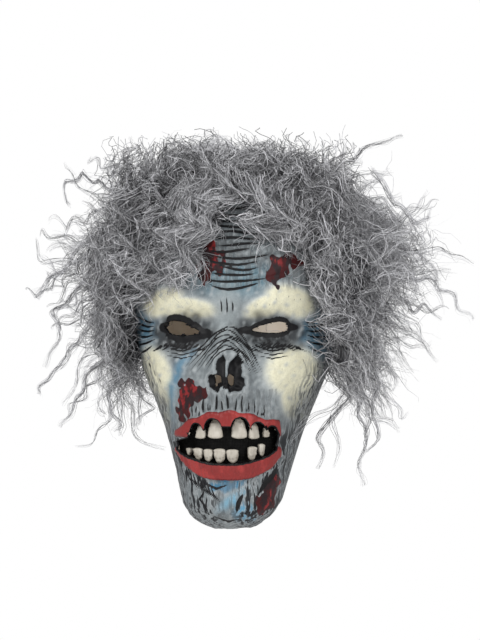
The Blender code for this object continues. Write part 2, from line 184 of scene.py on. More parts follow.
def front_normal(x, height):
    step = 0.5
    slope_x = (front_depth(x + step, height) - front_depth(x - step, height)) / (2 * step)
    slope_z = (front_depth(x, height + step) - front_depth(x, height - step)) / (2 * step)
    normal = np.stack([slope_x, -np.ones_like(slope_x), slope_z], -1)
    return normal / np.linalg.norm(normal, axis=-1, keepdims=True)


def over_scalp(across, along, lift):
    """Points on the crown's oval, raised by lift, above (across, along) seen from the top."""
    reach = np.where(along < CENTRE_Y, 96.0, 98.0) + lift
    out = (np.abs(across) / (86.0 + lift)) ** SQUARENESS + (np.abs(along - CENTRE_Y) / reach) ** SQUARENESS
    up = (HEAD_HEIGHT - CROWN_FROM + lift) * np.sqrt(np.clip(1 - out ** (2 / SQUARENESS), 0, 1))
    return np.stack([across, along, CROWN_FROM + up], -1)


# ---- meshes -----------------------------------------------------------------------------------------

def build_mesh(name, points, faces, attributes=(), smooth_faces=True):
    """An object from points in head millimetres and faces of one size or several."""
    mesh = bpy.data.meshes.new(name)
    world = ((points - HEAD_SEAT) * MM).astype(np.float32)
    sizes = [len(group[0]) for group in faces for _ in range(len(group))]
    corners = np.concatenate([np.asarray(group, np.int32).ravel() for group in faces])
    starts = np.concatenate([[0], np.cumsum(sizes)[:-1]]).astype(np.int32)
    mesh.vertices.add(len(world))
    mesh.vertices.foreach_set("co", world.ravel())
    mesh.loops.add(len(corners))
    mesh.loops.foreach_set("vertex_index", corners)
    mesh.polygons.add(len(sizes))
    mesh.polygons.foreach_set("loop_start", starts)
    mesh.polygons.foreach_set("use_smooth", np.full(len(sizes), smooth_faces))
    for label, kind, values in attributes:
        layer = mesh.attributes.new(label, kind, "POINT")
        key = "color" if kind == "FLOAT_COLOR" else "value"
        layer.data.foreach_set(key, np.asarray(values, np.float32).ravel())
    mesh.update(calc_edges=True)
    mesh.validate()
    obj = bpy.data.objects.new(name, mesh)
    bpy.context.scene.collection.objects.link(obj)
    return obj


def grid_faces(rows, columns, wrap):
    """Quads of a grid of points stored row by row; wrap closes each row on itself."""
    across = np.arange(columns if wrap else columns - 1)
    i, j = np.meshgrid(np.arange(rows - 1), across, indexing="ij")
    after = (j + 1) % columns
    return np.stack([i * columns + j, i * columns + after, (i + 1) * columns + after,
                     (i + 1) * columns + j], -1).reshape(-1, 4)


# ---- materials --------------------------------------------------------------------------------------

def new_material(name, roughness, specular=0.5):
    made = bpy.data.materials.new(name)
    made.use_nodes = True
    shader = made.node_tree.nodes["Principled BSDF"]
    shader.inputs["Roughness"].default_value = roughness
    shader.inputs["Specular IOR Level"].default_value = specular
    return made, made.node_tree, shader


def plain_material(name, colour, roughness, specular):
    made, _, shader = new_material(name, roughness, specular)
    shader.inputs["Base Color"].default_value = (*colour, 1)
    return made


def add_node(tree, kind, inputs=(), **settings):
    node = tree.nodes.new(kind)
    for key, value in settings.items():
        setattr(node, key, value)
    for key, value in dict(inputs).items():
        if hasattr(value, "links"):
            tree.links.new(value, node.inputs[key])
        else:
            node.inputs[key].default_value = value
    return node


def object_coords(tree, scale):
    place = add_node(tree, "ShaderNodeTexCoord").outputs["Object"]
    return add_node(tree, "ShaderNodeMapping", {"Vector": place, "Scale": scale}).outputs["Vector"]


def noise_node(tree, scale, stretch=(1, 1, 1), detail=3.0):
    return add_node(tree, "ShaderNodeTexNoise",
                    {"Vector": object_coords(tree, stretch), "Scale": scale, "Detail": detail}).outputs["Fac"]


def ramp(tree, value, low, high, low_colour, high_colour):
    node = add_node(tree, "ShaderNodeValToRGB", {"Fac": value})
    node.color_ramp.elements[0].position = low
    node.color_ramp.elements[0].color = (*low_colour, 1)
    node.color_ramp.elements[1].position = high
    node.color_ramp.elements[1].color = (*high_colour, 1)
    return node.outputs["Color"]


def mixed(tree, blend, share, first, second):
    node = add_node(tree, "ShaderNodeMix", data_type="RGBA", blend_type=blend)
    for index, value in ((0, share), (6, first), (7, second)):
        if hasattr(value, "links"):
            tree.links.new(value, node.inputs[index])
        else:
            node.inputs[index].default_value = value
    return node.outputs[2]


def bump(tree, shader, height, strength, distance):
    node = add_node(tree, "ShaderNodeBump", {"Height": height, "Strength": strength, "Distance": distance})
    tree.links.new(node.outputs["Normal"], shader.inputs["Normal"])


def times(tree, first, second):
    return add_node(tree, "ShaderNodeMath", {0: first, 1: second}, operation="MULTIPLY").outputs[0]


def between(tree, share, low, high):
    """A number that runs from low to high as a share goes from 0 to 1."""
    settings = {"Value": share, "To Min": low, "To Max": high}
    return add_node(tree, "ShaderNodeMapRange", settings).outputs["Result"]


def crisp(tree, field, ragged, edge, roughness, softness=0.05):
    """1 where a smooth field, roughened by noise, is over an edge value."""
    shift = add_node(tree, "ShaderNodeMath", {0: ragged, 1: 0.5}, operation="SUBTRACT").outputs[0]
    sums = {0: shift, 1: roughness, 2: field}
    rough = add_node(tree, "ShaderNodeMath", sums, operation="MULTIPLY_ADD").outputs[0]
    return add_node(tree, "ShaderNodeMapRange", {"Value": rough, "From Min": edge - softness,
                                                 "From Max": edge + softness}).outputs["Result"]


def painted_latex():
    """Airbrushed and dry-brushed paint. The paint attribute holds the soft colours, and marks holds smooth
    fields of black line, red paint, dry brushing and lip, which are cut to crisp brush edges here."""
    made, tree, shader = new_material("painted_latex", 0.5, 0.22)
    paint = add_node(tree, "ShaderNodeAttribute", attribute_name="paint").outputs["Color"]
    marks = add_node(tree, "ShaderNodeAttribute", attribute_name="marks")
    fields = add_node(tree, "ShaderNodeSeparateColor", {"Color": marks.outputs["Color"]}).outputs
    lip = marks.outputs["Alpha"]
    streaks = noise_node(tree, 330, (1, 1, 0.2), 4.0)
    grain = noise_node(tree, 300, (1, 1, 0.7), 4.0)
    blots = noise_node(tree, 95, (1, 1, 0.6), 4.0)
    brushed = times(tree, ramp(tree, streaks, 0.47, 0.55, (0, 0, 0), (1, 1, 1)), fields["Blue"])
    highlights = times(tree, ramp(tree, streaks, 0.44, 0.38, (0, 0, 0), (0.55, 0.55, 0.55)), fields["Blue"])
    tone = mixed(tree, "MIX", highlights, paint, (*srgb(176, 181, 183), 1))
    tone = mixed(tree, "MIX", brushed, tone, (*srgb(34, 36, 39), 1))
    dark = times(tree, ramp(tree, blots, 0.38, 0.47, (0, 0, 0), (1, 1, 1)), between(tree, lip, 0.95, 0.3))
    red = mixed(tree, "MIX", lip, (*srgb(142, 42, 44), 1), (*srgb(165, 62, 60), 1))
    red = mixed(tree, "MIX", dark, red, (*srgb(62, 20, 22), 1))
    clots = times(tree, ramp(tree, noise_node(tree, 210, (1, 1, 0.5), 4.0), 0.47, 0.53, (0, 0, 0), (1, 1, 1)),
                  between(tree, lip, 0.9, 0.0))
    red = mixed(tree, "MIX", clots, red, (*srgb(40, 30, 33), 1))
    tone = mixed(tree, "MIX", crisp(tree, fields["Green"], grain, 0.5, 0.7), tone, red)
    inked = crisp(tree, fields["Red"], grain, 0.6, 0.32)
    tone = mixed(tree, "MIX", inked, tone, (*srgb(22, 22, 24), 1))
    speckle = ramp(tree, noise_node(tree, 700), 0.3, 0.75, (0.9, 0.9, 0.9), (1.07, 1.07, 1.07))
    tree.links.new(mixed(tree, "MULTIPLY", 1.0, tone, speckle), shader.inputs["Base Color"])
    tree.links.new(between(tree, lip, 0.5, 0.3), shader.inputs["Roughness"])
    bump(tree, shader, noise_node(tree, 900, (1, 1, 0.6), 5.0), 0.35, 0.0004)
    return made


def raw_latex():
    """The unpainted inside: tan latex in uneven tones, blackened where paint came in round the openings."""
    made, tree, shader = new_material("raw_latex", 0.55, 0.4)
    tone = ramp(tree, noise_node(tree, 45), 0.3, 0.7, srgb(236, 222, 204), srgb(250, 240, 226))
    marks = add_node(tree, "ShaderNodeAttribute", attribute_name="marks")
    fields = add_node(tree, "ShaderNodeSeparateColor", {"Color": marks.outputs["Color"]}).outputs
    overspray = ramp(tree, fields["Red"], 0.955, 0.985, (0, 0, 0), (1, 1, 1))
    tree.links.new(mixed(tree, "MIX", overspray, tone, (*srgb(26, 25, 25), 1)), shader.inputs["Base Color"])
    bump(tree, shader, noise_node(tree, 260, detail=5.0), 0.3, 0.0005)
    return made


def tooth_enamel():
    """Bone-coloured teeth, darker towards the gums, with painted shade down their sides."""
    made, tree, shader = new_material("tooth_enamel", 0.38, 0.5)
    tooth_darkening = add_node(tree, "ShaderNodeAttribute", attribute_name="tooth_darkening").outputs["Fac"]
    tone = ramp(tree, noise_node(tree, 300, (1, 1, 0.35)), 0.3, 0.7, srgb(178, 170, 157), srgb(205, 199, 187))
    tree.links.new(mixed(tree, "MIX", tooth_darkening, tone, (*srgb(58, 48, 42), 1)), shader.inputs["Base Color"])
    bump(tree, shader, noise_node(tree, 500, (1, 1, 0.4)), 0.25, 0.0004)
    return made


def black_gauze():
    """A black woven gauze: two crossed sets of threads."""
    made, tree, shader = new_material("black_gauze", 0.85, 0.2)
    place = object_coords(tree, (1, 1, 1))
    waves = [add_node(tree, "ShaderNodeTexWave", {"Vector": place, "Scale": 260.0, "Distortion": 0.6},
                      bands_direction=axis).outputs["Fac"] for axis in ("X", "Z")]
    weave = add_node(tree, "ShaderNodeMath", {0: waves[0], 1: waves[1]}, operation="MULTIPLY").outputs[0]
    tree.links.new(ramp(tree, weave, 0.1, 0.8, srgb(8, 8, 8), srgb(34, 33, 32)), shader.inputs["Base Color"])
    bump(tree, shader, weave, 0.6, 0.0004)
    return made


def weft_tape():
    """Dark stitched tape: fine cross ribs and a lighter line of thread."""
    made, tree, shader = new_material("weft_tape", 0.85, 0.2)
    rib = add_node(tree, "ShaderNodeTexWave", {"Vector": object_coords(tree, (1, 1, 1)), "Scale": 300.0,
                                               "Distortion": 1.5}, bands_direction="DIAGONAL").outputs["Fac"]
    tree.links.new(ramp(tree, rib, 0.2, 0.9, srgb(34, 34, 36), srgb(86, 86, 88)), shader.inputs["Base Color"])
    bump(tree, shader, rib, 0.6, 0.0005)
    return made


def crimped_hair(name, dark, light, roughness=0.5):
    """Synthetic fibres: the shade attribute sets each strand's grey, with fine changes along it."""
    made, tree, shader = new_material(name, roughness, 0.45)
    shade = add_node(tree, "ShaderNodeAttribute", attribute_name="shade").outputs["Fac"]
    grey = ramp(tree, shade, 0.0, 1.0, srgb(*dark), srgb(*light))
    speckle = ramp(tree, noise_node(tree, 240, detail=4.0), 0.3, 0.7, (0.72, 0.72, 0.73), (1.2, 1.2, 1.2))
    tree.links.new(mixed(tree, "MULTIPLY", 1.0, grey, speckle), shader.inputs["Base Color"])
    return made


# ---- skin -------------------------------------------------------------------------------------------

def dome(x, centre, half, power):
    """1 over a centre, falling to 0 at half a width away."""
    return np.clip(1 - np.abs((x - centre) / half) ** power, 0, 1) ** (1 / power)


def mouth_edges(x):
    """The lower and upper edge of the open mouth, with an arch of gum over each upper tooth."""
    gum = through(GUM_LINE, x)
    upper = gum
    for centre, width, top, _ in UPPER_TEETH:
        upper = np.maximum(upper, gum + (top + 0.4 - gum) * dome(x, centre, width / 2 + 0.7, 2.0))
    share = np.clip(1 - (x / MOUTH_RIGHT) ** 2, 0, 1)
    corner = 71.5 + 2.2 * x / MOUTH_RIGHT
    lower = corner - (corner - 53.2) * share ** 0.45
    return lower, np.maximum(upper, lower)


def almond_edges(x, hole):
    """An eye hole, round at its outer end and pointed at its inner end."""
    centre_x, centre_z, half_length, half_height, droop = hole
    outward = np.clip((x - centre_x) / half_length * (1 if centre_x > 0 else -1), -1, 1)
    share = (1 + outward) / 2
    half = half_height * 2.2 * share ** 0.8 * (1 - share) ** 0.42
    middle = centre_z - droop * (1 - share) ** 1.5
    return middle - 0.85 * half, middle + half


def snap_to_hole(x, z, edges, low_x, high_x):
    """Which points lie in the hole, and their heights moved to its nearer edge."""
    low, high = edges(x)
    inside = (x > low_x) & (x < high_x) & (z > low) & (z < high)
    nearer = np.where(z - low < high - z, low, high)
    return inside, np.where(inside, nearer, z)


def stroke(x, z, points, width):
    """A tapering brush stroke along points: 1 on its line, 0 away from it."""
    points = np.asarray(points, float)
    best = np.full(x.shape, 1e9)
    along = np.zeros(x.shape)
    lengths = np.linalg.norm(np.diff(points, axis=0), axis=1)
    run = np.concatenate([[0], np.cumsum(lengths)])
    near = ((x > points[:, 0].min() - 4 * width) & (x < points[:, 0].max() + 4 * width)
            & (z > points[:, 1].min() - 4 * width) & (z < points[:, 1].max() + 4 * width))
    near_x, near_z = x[near], z[near]
    best_near, along_near = best[near], along[near]
    for start, end, length, before in zip(points, points[1:], lengths, run):
        step = (end - start) / length
        share = np.clip((near_x - start[0]) * step[0] + (near_z - start[1]) * step[1], 0, length)
        away = np.hypot(near_x - start[0] - share * step[0], near_z - start[1] - share * step[1])
        closer = away < best_near
        best_near = np.where(closer, away, best_near)
        along_near = np.where(closer, (before + share) / run[-1], along_near)
    best[near], along[near] = best_near, along_near
    taper = np.sin(math.pi * np.clip(along, 0.02, 0.98)) ** 0.5
    return np.where(near, np.exp(-(best / (width * (0.35 + 0.65 * taper))) ** 2) * taper, 0)


def forehead_lines():
    """Stacked wrinkles: the low ones curl up at their ends and the high ones arch down."""
    for i in range(17):
        height = 190.5 + 5.0 * i
        curl = 8 - 1.0 * i
        half = 27 + 7 * math.sin(1.7 * i)
        middle = 7 + 4 * math.sin(2.9 * i)
        ends = np.linspace(-1, 1, 11)
        yield [(middle + half * t, height + curl * t * t + 1.0 * math.sin(3.1 * t + i)) for t in ends], 1.55


def nose_lines():
    """Nested folds over the bridge of the nose that run down both cheeks."""
    for i in range(7):
        peak, inner = 161 - 2.9 * i, i / 6
        steps = np.linspace(-1, 1, 17)
        reach = np.where(steps < 0, 46 - 24 * inner, 34 - 12 * inner)
        drop = np.where(steps < 0, 50 - 25 * inner, 55 - 28 * inner)
        fall = drop * np.abs(steps) ** np.where(steps < 0, 1.5, 1.9) - 0.8 * np.sin(9 * steps + 1.9 * i)
        yield list(zip(1.5 + reach * steps, peak - fall)), 0.85


def frown_lines():
    for x, low, high in ((-3.5, 168, 186), (1, 165, 189), (5.5, 169, 184)):
        yield [(x, low), (x + 0.6, (low + high) / 2), (x - 0.4, high)], 1.1


def eye_lines():
    """Curved hatching under each socket, and crow's-feet at the temples."""
    for side in (-1, 1):
        for i in range(13):
            start, length = (side * (15 + 3.2 * i), 149.5 - 0.06 * (i - 6) ** 2), 9 + 3 * math.sin(2.3 * i)
            yield [start, (start[0] + side * 0.5 * length, start[1] - 0.45 * length),
                   (start[0] + side * 1.1 * length, start[1] - 0.7 * length)], 0.95
        for i in range(4):
            low = 3 * i
            yield [(side * (22 - i), 149 - low), (side * 36, 144.5 - low), (side * (52 + i), 148 - low)], 0.9
        for i, rise in enumerate((13, 7, 1, -6, -14, -23)):
            start = (side * (56 + 2 * (i % 2)), 158 + 0.4 * rise)
            middle = (side * 68, 158 + 0.62 * rise - 2)
            yield [start, middle, (side * (84 + i % 3), 158 + rise)], 1.3


def lip_lines():
    """Black creases that drip from the nose to the upper lip."""
    for i in range(23):
        x = -27 + 2.6 * i + 1.1 * math.sin(3 * i)
        top = 114 - 0.012 * x * x - 12 * math.sin(2.3 * i) ** 2
        yield [(x, 87 - 0.003 * x * x + 5 * math.sin(1.7 * i) ** 2), (x + 1.4 * math.sin(i), top)], 1.0


def chin_lines():
    for i in range(8):
        x = -37 + 3.2 * i
        yield [(x, 56 - 2.4 * i), (x + 5, 42 - 2 * i), (x + 13, 30 - 1.5 * i)], 0.8
    for i in range(5):
        yield [(40 - 2.5 * i, 52 - 3 * i), (34 - 2.5 * i, 36 - 3 * i)], 1.3
    yield [(15, 31), (10, 22), (7, 13)], 2.6
    yield [(-16, 33), (-22, 24), (-13, 14)], 1.4
    yield [(-14, 13), (0, 9), (15, 11)], 1.2
    yield [(-20, 38), (-8, 33), (4, 37)], 1.5


def cheek_folds():
    """The folds from the nose to the corners of the mouth."""
    for side in (-1, 1):
        yield [(side * 17, 130), (side * 24, 116), (side * 33, 104), (side * 41, 90), (side * 45, 74)], 1.6
        yield [(side * 46, 80), (side * 43, 62), (side * 37, 48)], 1.4


def scratches():
    """Fine scratches through the pale paint of the cheeks and brows."""
    for i in range(9):
        x, z = 40 + 3.4 * i, 136 - 1.2 * i - 7 * math.sin(2.1 * i) ** 2
        yield [(x, z), (x + 4, z - 9), (x + 10, z - 19 - 3 * math.sin(1.3 * i))], 0.7
    for i in range(6):
        yield [(-70 + 2.6 * i, 138 - 3 * i), (-64 + 2.6 * i, 122 - 3 * i)], 0.7
    for i in range(8):
        x = 24 + 4.6 * i
        yield [(x, 171 + 0.12 * x), (x + 3.5, 180 + 0.16 * x + 3 * math.sin(2.7 * i))], 0.7


def creases(x, z):
    """All wrinkle lines together: (how deep the skin folds, how much ink lies in the fold)."""
    fold = np.zeros_like(x)
    inked = np.zeros_like(x)
    groups = ((forehead_lines, 1.6, 1.0), (nose_lines, 1.0, 0.95), (frown_lines, 0.9, 0.85),
              (eye_lines, 0.9, 0.95), (lip_lines, 0.9, 0.85), (chin_lines, 0.8, 0.95),
              (cheek_folds, 1.3, 0.6), (scratches, 0.3, 0.68))
    for lines, depth, darkness in groups:
        for points, width in lines():
            mark = stroke(x, z, points, width)
            fold = np.maximum(fold, depth * mark)
            inked = np.maximum(inked, darkness * mark)
    return fold, inked


def lobe(x, z, centre_x, centre_z, half_x, half_z):
    return np.exp(-(((x - centre_x) / half_x) ** 2 + ((z - centre_z) / half_z) ** 2) ** 1.6)


def nose_cavity(x, z):
    """The sunken, torn nose: 1 in the hollow, which is narrow at its top and wide at the nostrils."""
    lobes = (lobe(x, z, -2.5, 128, 6, 13), lobe(x, z, 9.5, 127, 6, 13), lobe(x, z, -7, 117, 8, 8),
             lobe(x, z, 8, 117, 9, 9), lobe(x, z, 2, 118, 7, 7))
    ragged = 0.12 * noise(x, z, 5, 6, 3)
    return np.clip(np.max(lobes, axis=0) + ragged, 0, 1)


def septum(x, z):
    """The thin wall down the middle of the nose."""
    middle = 3.4 - 0.1 * (128 - z)
    width = 2.2 + 1.3 * smooth(126, 138, z)
    return np.exp(-((x - middle) / width) ** 2) * smooth(117, 123, z) * smooth(146, 138, z)


def lips(x, z):
    """1 on the painted lips: an upper lip with its gum, and a thick lower lip."""
    low, high = mouth_edges(x)
    top = through(((-43, 79), (-36, 83), (-27, 88), (-14, 93), (0, 95), (14, 93.5), (26, 90), (42, 86)), x)
    top = top + 0.8 * np.sin(x / 2.7)
    bottom = 60 - 20.5 * np.clip(1 - (np.abs(x - 1) / 41) ** 3, 0, 1)
    upper = smooth(-1.5, 1.5, top - z) * smooth(-2.5, -0.5, z - high)
    upper = upper * smooth(44, 41, np.abs(x)) * smooth(71, 75, z)
    lower = smooth(-1.5, 1.5, z - bottom) * smooth(-2.5, -0.5, low - z) * smooth(43, 40, np.abs(x))
    lower = lower * smooth(68, 63, z)
    return upper, lower


def skin_detail(x, z):
    """Height of the fine modelling above the plain head, in millimetres."""
    fold, _ = creases(x, z)
    upper, lower = lips(x, z)
    hollow = np.maximum(nose_cavity(x, z), lobe(x, z, 3.5, 127, 7, 13))
    lumps = 0.5 * noise(x, z, 14, 18, 21) + 0.22 * noise(x, z, 5, 7, 22)
    rim = np.exp(-((hollow - 0.45) / 0.16) ** 2) * 1.2
    sunken = -6.5 * smooth(0.35, 0.8, hollow) + rim + 1.5 * septum(x, z) * smooth(0.4, 0.8, hollow)
    cheek_hollow = -2.5 * sum(np.exp(-(((x - side * 52) / 10) ** 2 + ((z - 96) / 20) ** 2))
                              for side in (-1, 1))
    lid = np.zeros_like(x)
    for hole in EYE_HOLES:
        low, high = almond_edges(np.clip(x, hole[0] - hole[2], hole[0] + hole[2]), hole)
        beyond = np.maximum(np.abs(x - hole[0]) - hole[2], 0)
        away = np.maximum(np.maximum(low - z, z - high), 0) + 0.6 * beyond
        lid += 1.8 * np.exp(-(away / 3) ** 2) * smooth(hole[2] + 8, hole[2], np.abs(x - hole[0]))
    lip_grain = 0.25 * np.sin(x * 2.1 + 2 * noise(x, z, 9, 9, 5)) * lower
    chin = 4.5 * np.exp(-(z / 15) ** 2) * smooth(52, 30, np.abs(x))
    return lumps - fold + 2.2 * upper ** 2 + 3.2 * lower + sunken + cheek_hollow + lid + lip_grain + chin


def patch(x, z, centre_x, centre_z, half_x, half_z, turn=0.0, edge=0.35, seed=1, rough=0.0):
    """A soft-edged oval patch of paint, turned by degrees, with an optional ragged edge."""
    angle = math.radians(turn)
    across = (x - centre_x) * math.cos(angle) + (z - centre_z) * math.sin(angle)
    up = -(x - centre_x) * math.sin(angle) + (z - centre_z) * math.cos(angle)
    out = np.hypot(across / half_x, up / half_z) + rough * noise(x, z, 7, 9, seed)
    return smooth(1 + edge, 1 - edge, out)


def over(paint, colour, share):
    return paint + (np.asarray(colour) - paint) * np.clip(share, 0, 1)[..., None]


GREY = srgb(122, 129, 132)
PALE_GREY = srgb(165, 171, 173)
DARK_GREY = srgb(70, 75, 79)
CREAM = srgb(234, 230, 202)
WHITE_GREY = srgb(204, 210, 209)
BLUE = srgb(78, 128, 156)
PALE_BLUE = srgb(122, 166, 188)
SOCKET = srgb(34, 36, 39)


def soft_paint(x, y, z):
    """The base coat, the airbrushed colours, and painted shade on the jaw and the sides."""
    paint = np.broadcast_to(GREY, (*x.shape, 3)).copy()
    mottled = noise(x, z, 16, 22, 31) * 0.5 + noise(x, z, 4, 6, 32) * 0.4
    paint = over(paint, PALE_GREY, 0.6 * smooth(0.0, 1.0, mottled))
    paint = over(paint, DARK_GREY, 0.6 * smooth(0.1, 1.1, -mottled))
    forehead = smooth(186, 196, z) * smooth(70, 45, np.abs(x - 4))
    paint = over(paint, srgb(76, 84, 88), 0.85 * forehead)
    fold, _ = creases(x, z)
    between_folds = forehead * smooth(0.35, 0.0, fold) * smooth(-0.5, 0.8, mottled)
    paint = over(paint, srgb(150, 157, 160), 0.8 * between_folds)
    paint = over(paint, srgb(96, 134, 150), 0.65 * patch(x, z, 8, 197, 34, 13, edge=0.6))
    for x_out in (-76, 74):
        paint = over(paint, BLUE, 0.85 * patch(x, z, x_out, 150, 17, 24, edge=0.5, seed=41, rough=0.25))
    # brows and cheeks, each a cream patch with a paler margin
    brows = ((-36, 176, 33, 9.5, -6), (-52, 180, 20, 12, 20), (34, 178, 22, 9, 22), (50, 181, 20, 14, -22))
    cheeks = ((-60, 120, 17, 28, 14), (-57, 100, 9, 25, 10), (52, 125, 22, 22, -8), (56, 104, 13, 24, 6))
    for shapes in (brows, cheeks):
        margin = np.max([patch(x, z, *shape, edge=0.35) for shape in shapes], axis=0)
        centre = np.max([patch(x, z, *shape[:2], shape[2] * 0.9, shape[3] * 0.84, shape[4], 0.25)
                         for shape in shapes], axis=0)
        paint = over(paint, WHITE_GREY, margin)
        paint = over(paint, CREAM, centre)
    paint = over(paint, srgb(150, 158, 160), 0.8 * patch(x, z, 1, 174, 11, 20, edge=0.5))
    # blue airbrushing down the left cheek
    route = [(-22, 146), (-36, 132), (-45, 113), (-49, 92), (-46, 74)]
    paint = over(paint, BLUE, 0.9 * stroke(x, z, route, 4.5))
    # eye sockets
    for centre_x, turn in ((-37, 6), (35, -6)):
        paint = over(paint, SOCKET, 0.95 * patch(x, z, centre_x, 156, 27, 15, turn, 0.4, 42, 0.1))
    # a grey plate around the nose, with a pale torn edge
    paint = over(paint, srgb(120, 127, 130), 0.8 * patch(x, z, 1, 125, 20, 24, edge=0.4))
    hollow = nose_cavity(x, z)
    paint = over(paint, srgb(172, 178, 180), 0.8 * np.exp(-((hollow - 0.3) / 0.18) ** 2))
    bone = septum(x, z) * smooth(0.4, 0.0, np.abs(noise(x, z, 5, 5, 57)))
    paint = over(paint, srgb(168, 174, 176), bone)
    # painted shade on the sides of the jaw, and blue bruises on the chin
    jaw = smooth(0.6, 0.95, np.abs(x) / np.maximum(section(z)[0], 1)) * smooth(118, 96, z)
    paint = over(paint, DARK_GREY, 0.8 * jaw)
    paint = over(paint, srgb(62, 120, 152), 0.95 * patch(x, z, 1, 36, 12, 4.5, 6, 0.5, 55, 0.3))
    paint = over(paint, PALE_BLUE, 0.95 * stroke(x, z, [(-8, 16), (4, 24), (18, 34)], 4.0))
    paint = over(paint, srgb(100, 160, 192), 0.95 * patch(x, z, 13, 15, 8, 6, 0, 0.5, 56, 0.25))
    # painted shade on the sides, mostly under the hair, and the darker back
    side = smooth(0.82, 1.0, np.abs(x) / np.maximum(section(z)[0], 1)) * smooth(60, 110, z)
    paint = over(paint, srgb(84, 88, 92), 0.75 * side)
    back = over(np.broadcast_to(srgb(80, 84, 88), paint.shape), DARK_GREY, smooth(-0.8, 0.8, mottled))
    return over(paint, back, smooth(-30, 10, y))


def wounds(x, z):
    """Ragged red wounds on the cheek, the forehead and the chin."""
    shapes = ((-27, 110, 12, 7.5, -20), (-34, 99, 6.5, 14, -12), (-12, 214, 10, 13, 8), (-16, 203, 5, 8, 0),
              (40, 205, 8, 10, -10), (50, 214, 10, 5, -20), (-27, 226, 4, 4, 0), (34, 31, 4.5, 14, -12),
              (26, 21, 5, 7, 10))
    return np.max([patch(x, z, *shape, 0.35, 50 + i, 0.3) for i, shape in enumerate(shapes)], axis=0)


def paint_marks(x, y, z):
    """Four fields: black line, red paint, dry brushing and lip."""
    _, inked = creases(x, z)
    upper, lower = lips(x, z)
    lip = np.maximum(upper, lower)
    low, high = mouth_edges(x)
    inked = inked * (1 - 0.75 * lip)
    border = np.exp(-(np.minimum(np.abs(z - high), np.abs(z - low)) / 1.3) ** 2) * (np.abs(x) < 41)
    hollow = smooth(0.3, 0.7, nose_cavity(x, z)) * (1 - 0.8 * septum(x, z) * smooth(108, 128, z))
    liner = np.zeros_like(x)
    for hole, reach_up, reach_down in zip(EYE_HOLES, (4.2, 3.2), (4.5, 3.2)):
        outward = (x - hole[0]) * np.sign(hole[0])
        edge_low, edge_high = almond_edges(x, hole)
        beyond = np.maximum(np.abs(x - hole[0]) - hole[2], 0)
        above = np.where(z > (edge_low + edge_high) / 2,
                         (z - edge_high) / reach_up, (edge_low - z) / reach_down)
        away = np.hypot(np.maximum(above, 0), beyond / np.where(outward > 0, 6.5, 9.0))
        liner = np.maximum(liner, np.exp(-0.5 * away ** 2))
    shade = 0.6 * sum(patch(x, z, side * 36, 152, 25, 9.5, -side * 5, 0.5, 44, 0.12) for side in (-1, 1))
    blotches = 0.55 * smooth(0.3, 1.1, noise(x, z, 5, 6, 61)) * patch(x, z, 1, 122, 24, 26, edge=0.3)
    inked = np.max([inked, border, hollow, liner, shade, blotches], axis=0)
    jaw = smooth(92, 70, z) * smooth(0.0, 0.5, np.abs(x) / section(z)[0])
    jaw = np.maximum(jaw, smooth(0.7, 0.95, np.abs(x) / np.maximum(section(z)[0], 1)) * smooth(150, 110, z))
    brushed = 0.95 * jaw + 0.4 * smooth(186, 196, z) + 0.3 * (z < 112) * (np.abs(x) < 40)
    front = smooth(-20, -34, y)
    red = np.maximum(wounds(x, z), lip)
    return np.stack([inked * front, red * front, np.clip(brushed, 0, 1) * (1 - lip), lip * front], -1)


def hem_height(bearing):
    """The height at which the inclined hem cuts each meridian."""
    slope = (HEM_BACK[1] - HEM_FRONT[1]) / (HEM_BACK[0] - HEM_FRONT[0])
    low, high = np.zeros_like(bearing), np.full_like(bearing, 130.0)
    for _ in range(40):
        middle = (low + high) / 2
        _, y = head_point(bearing, middle)
        above = middle - (HEM_FRONT[1] + (y - HEM_FRONT[0]) * slope) > 0
        high = np.where(above, middle, high)
        low = np.where(above, low, middle)
    return high


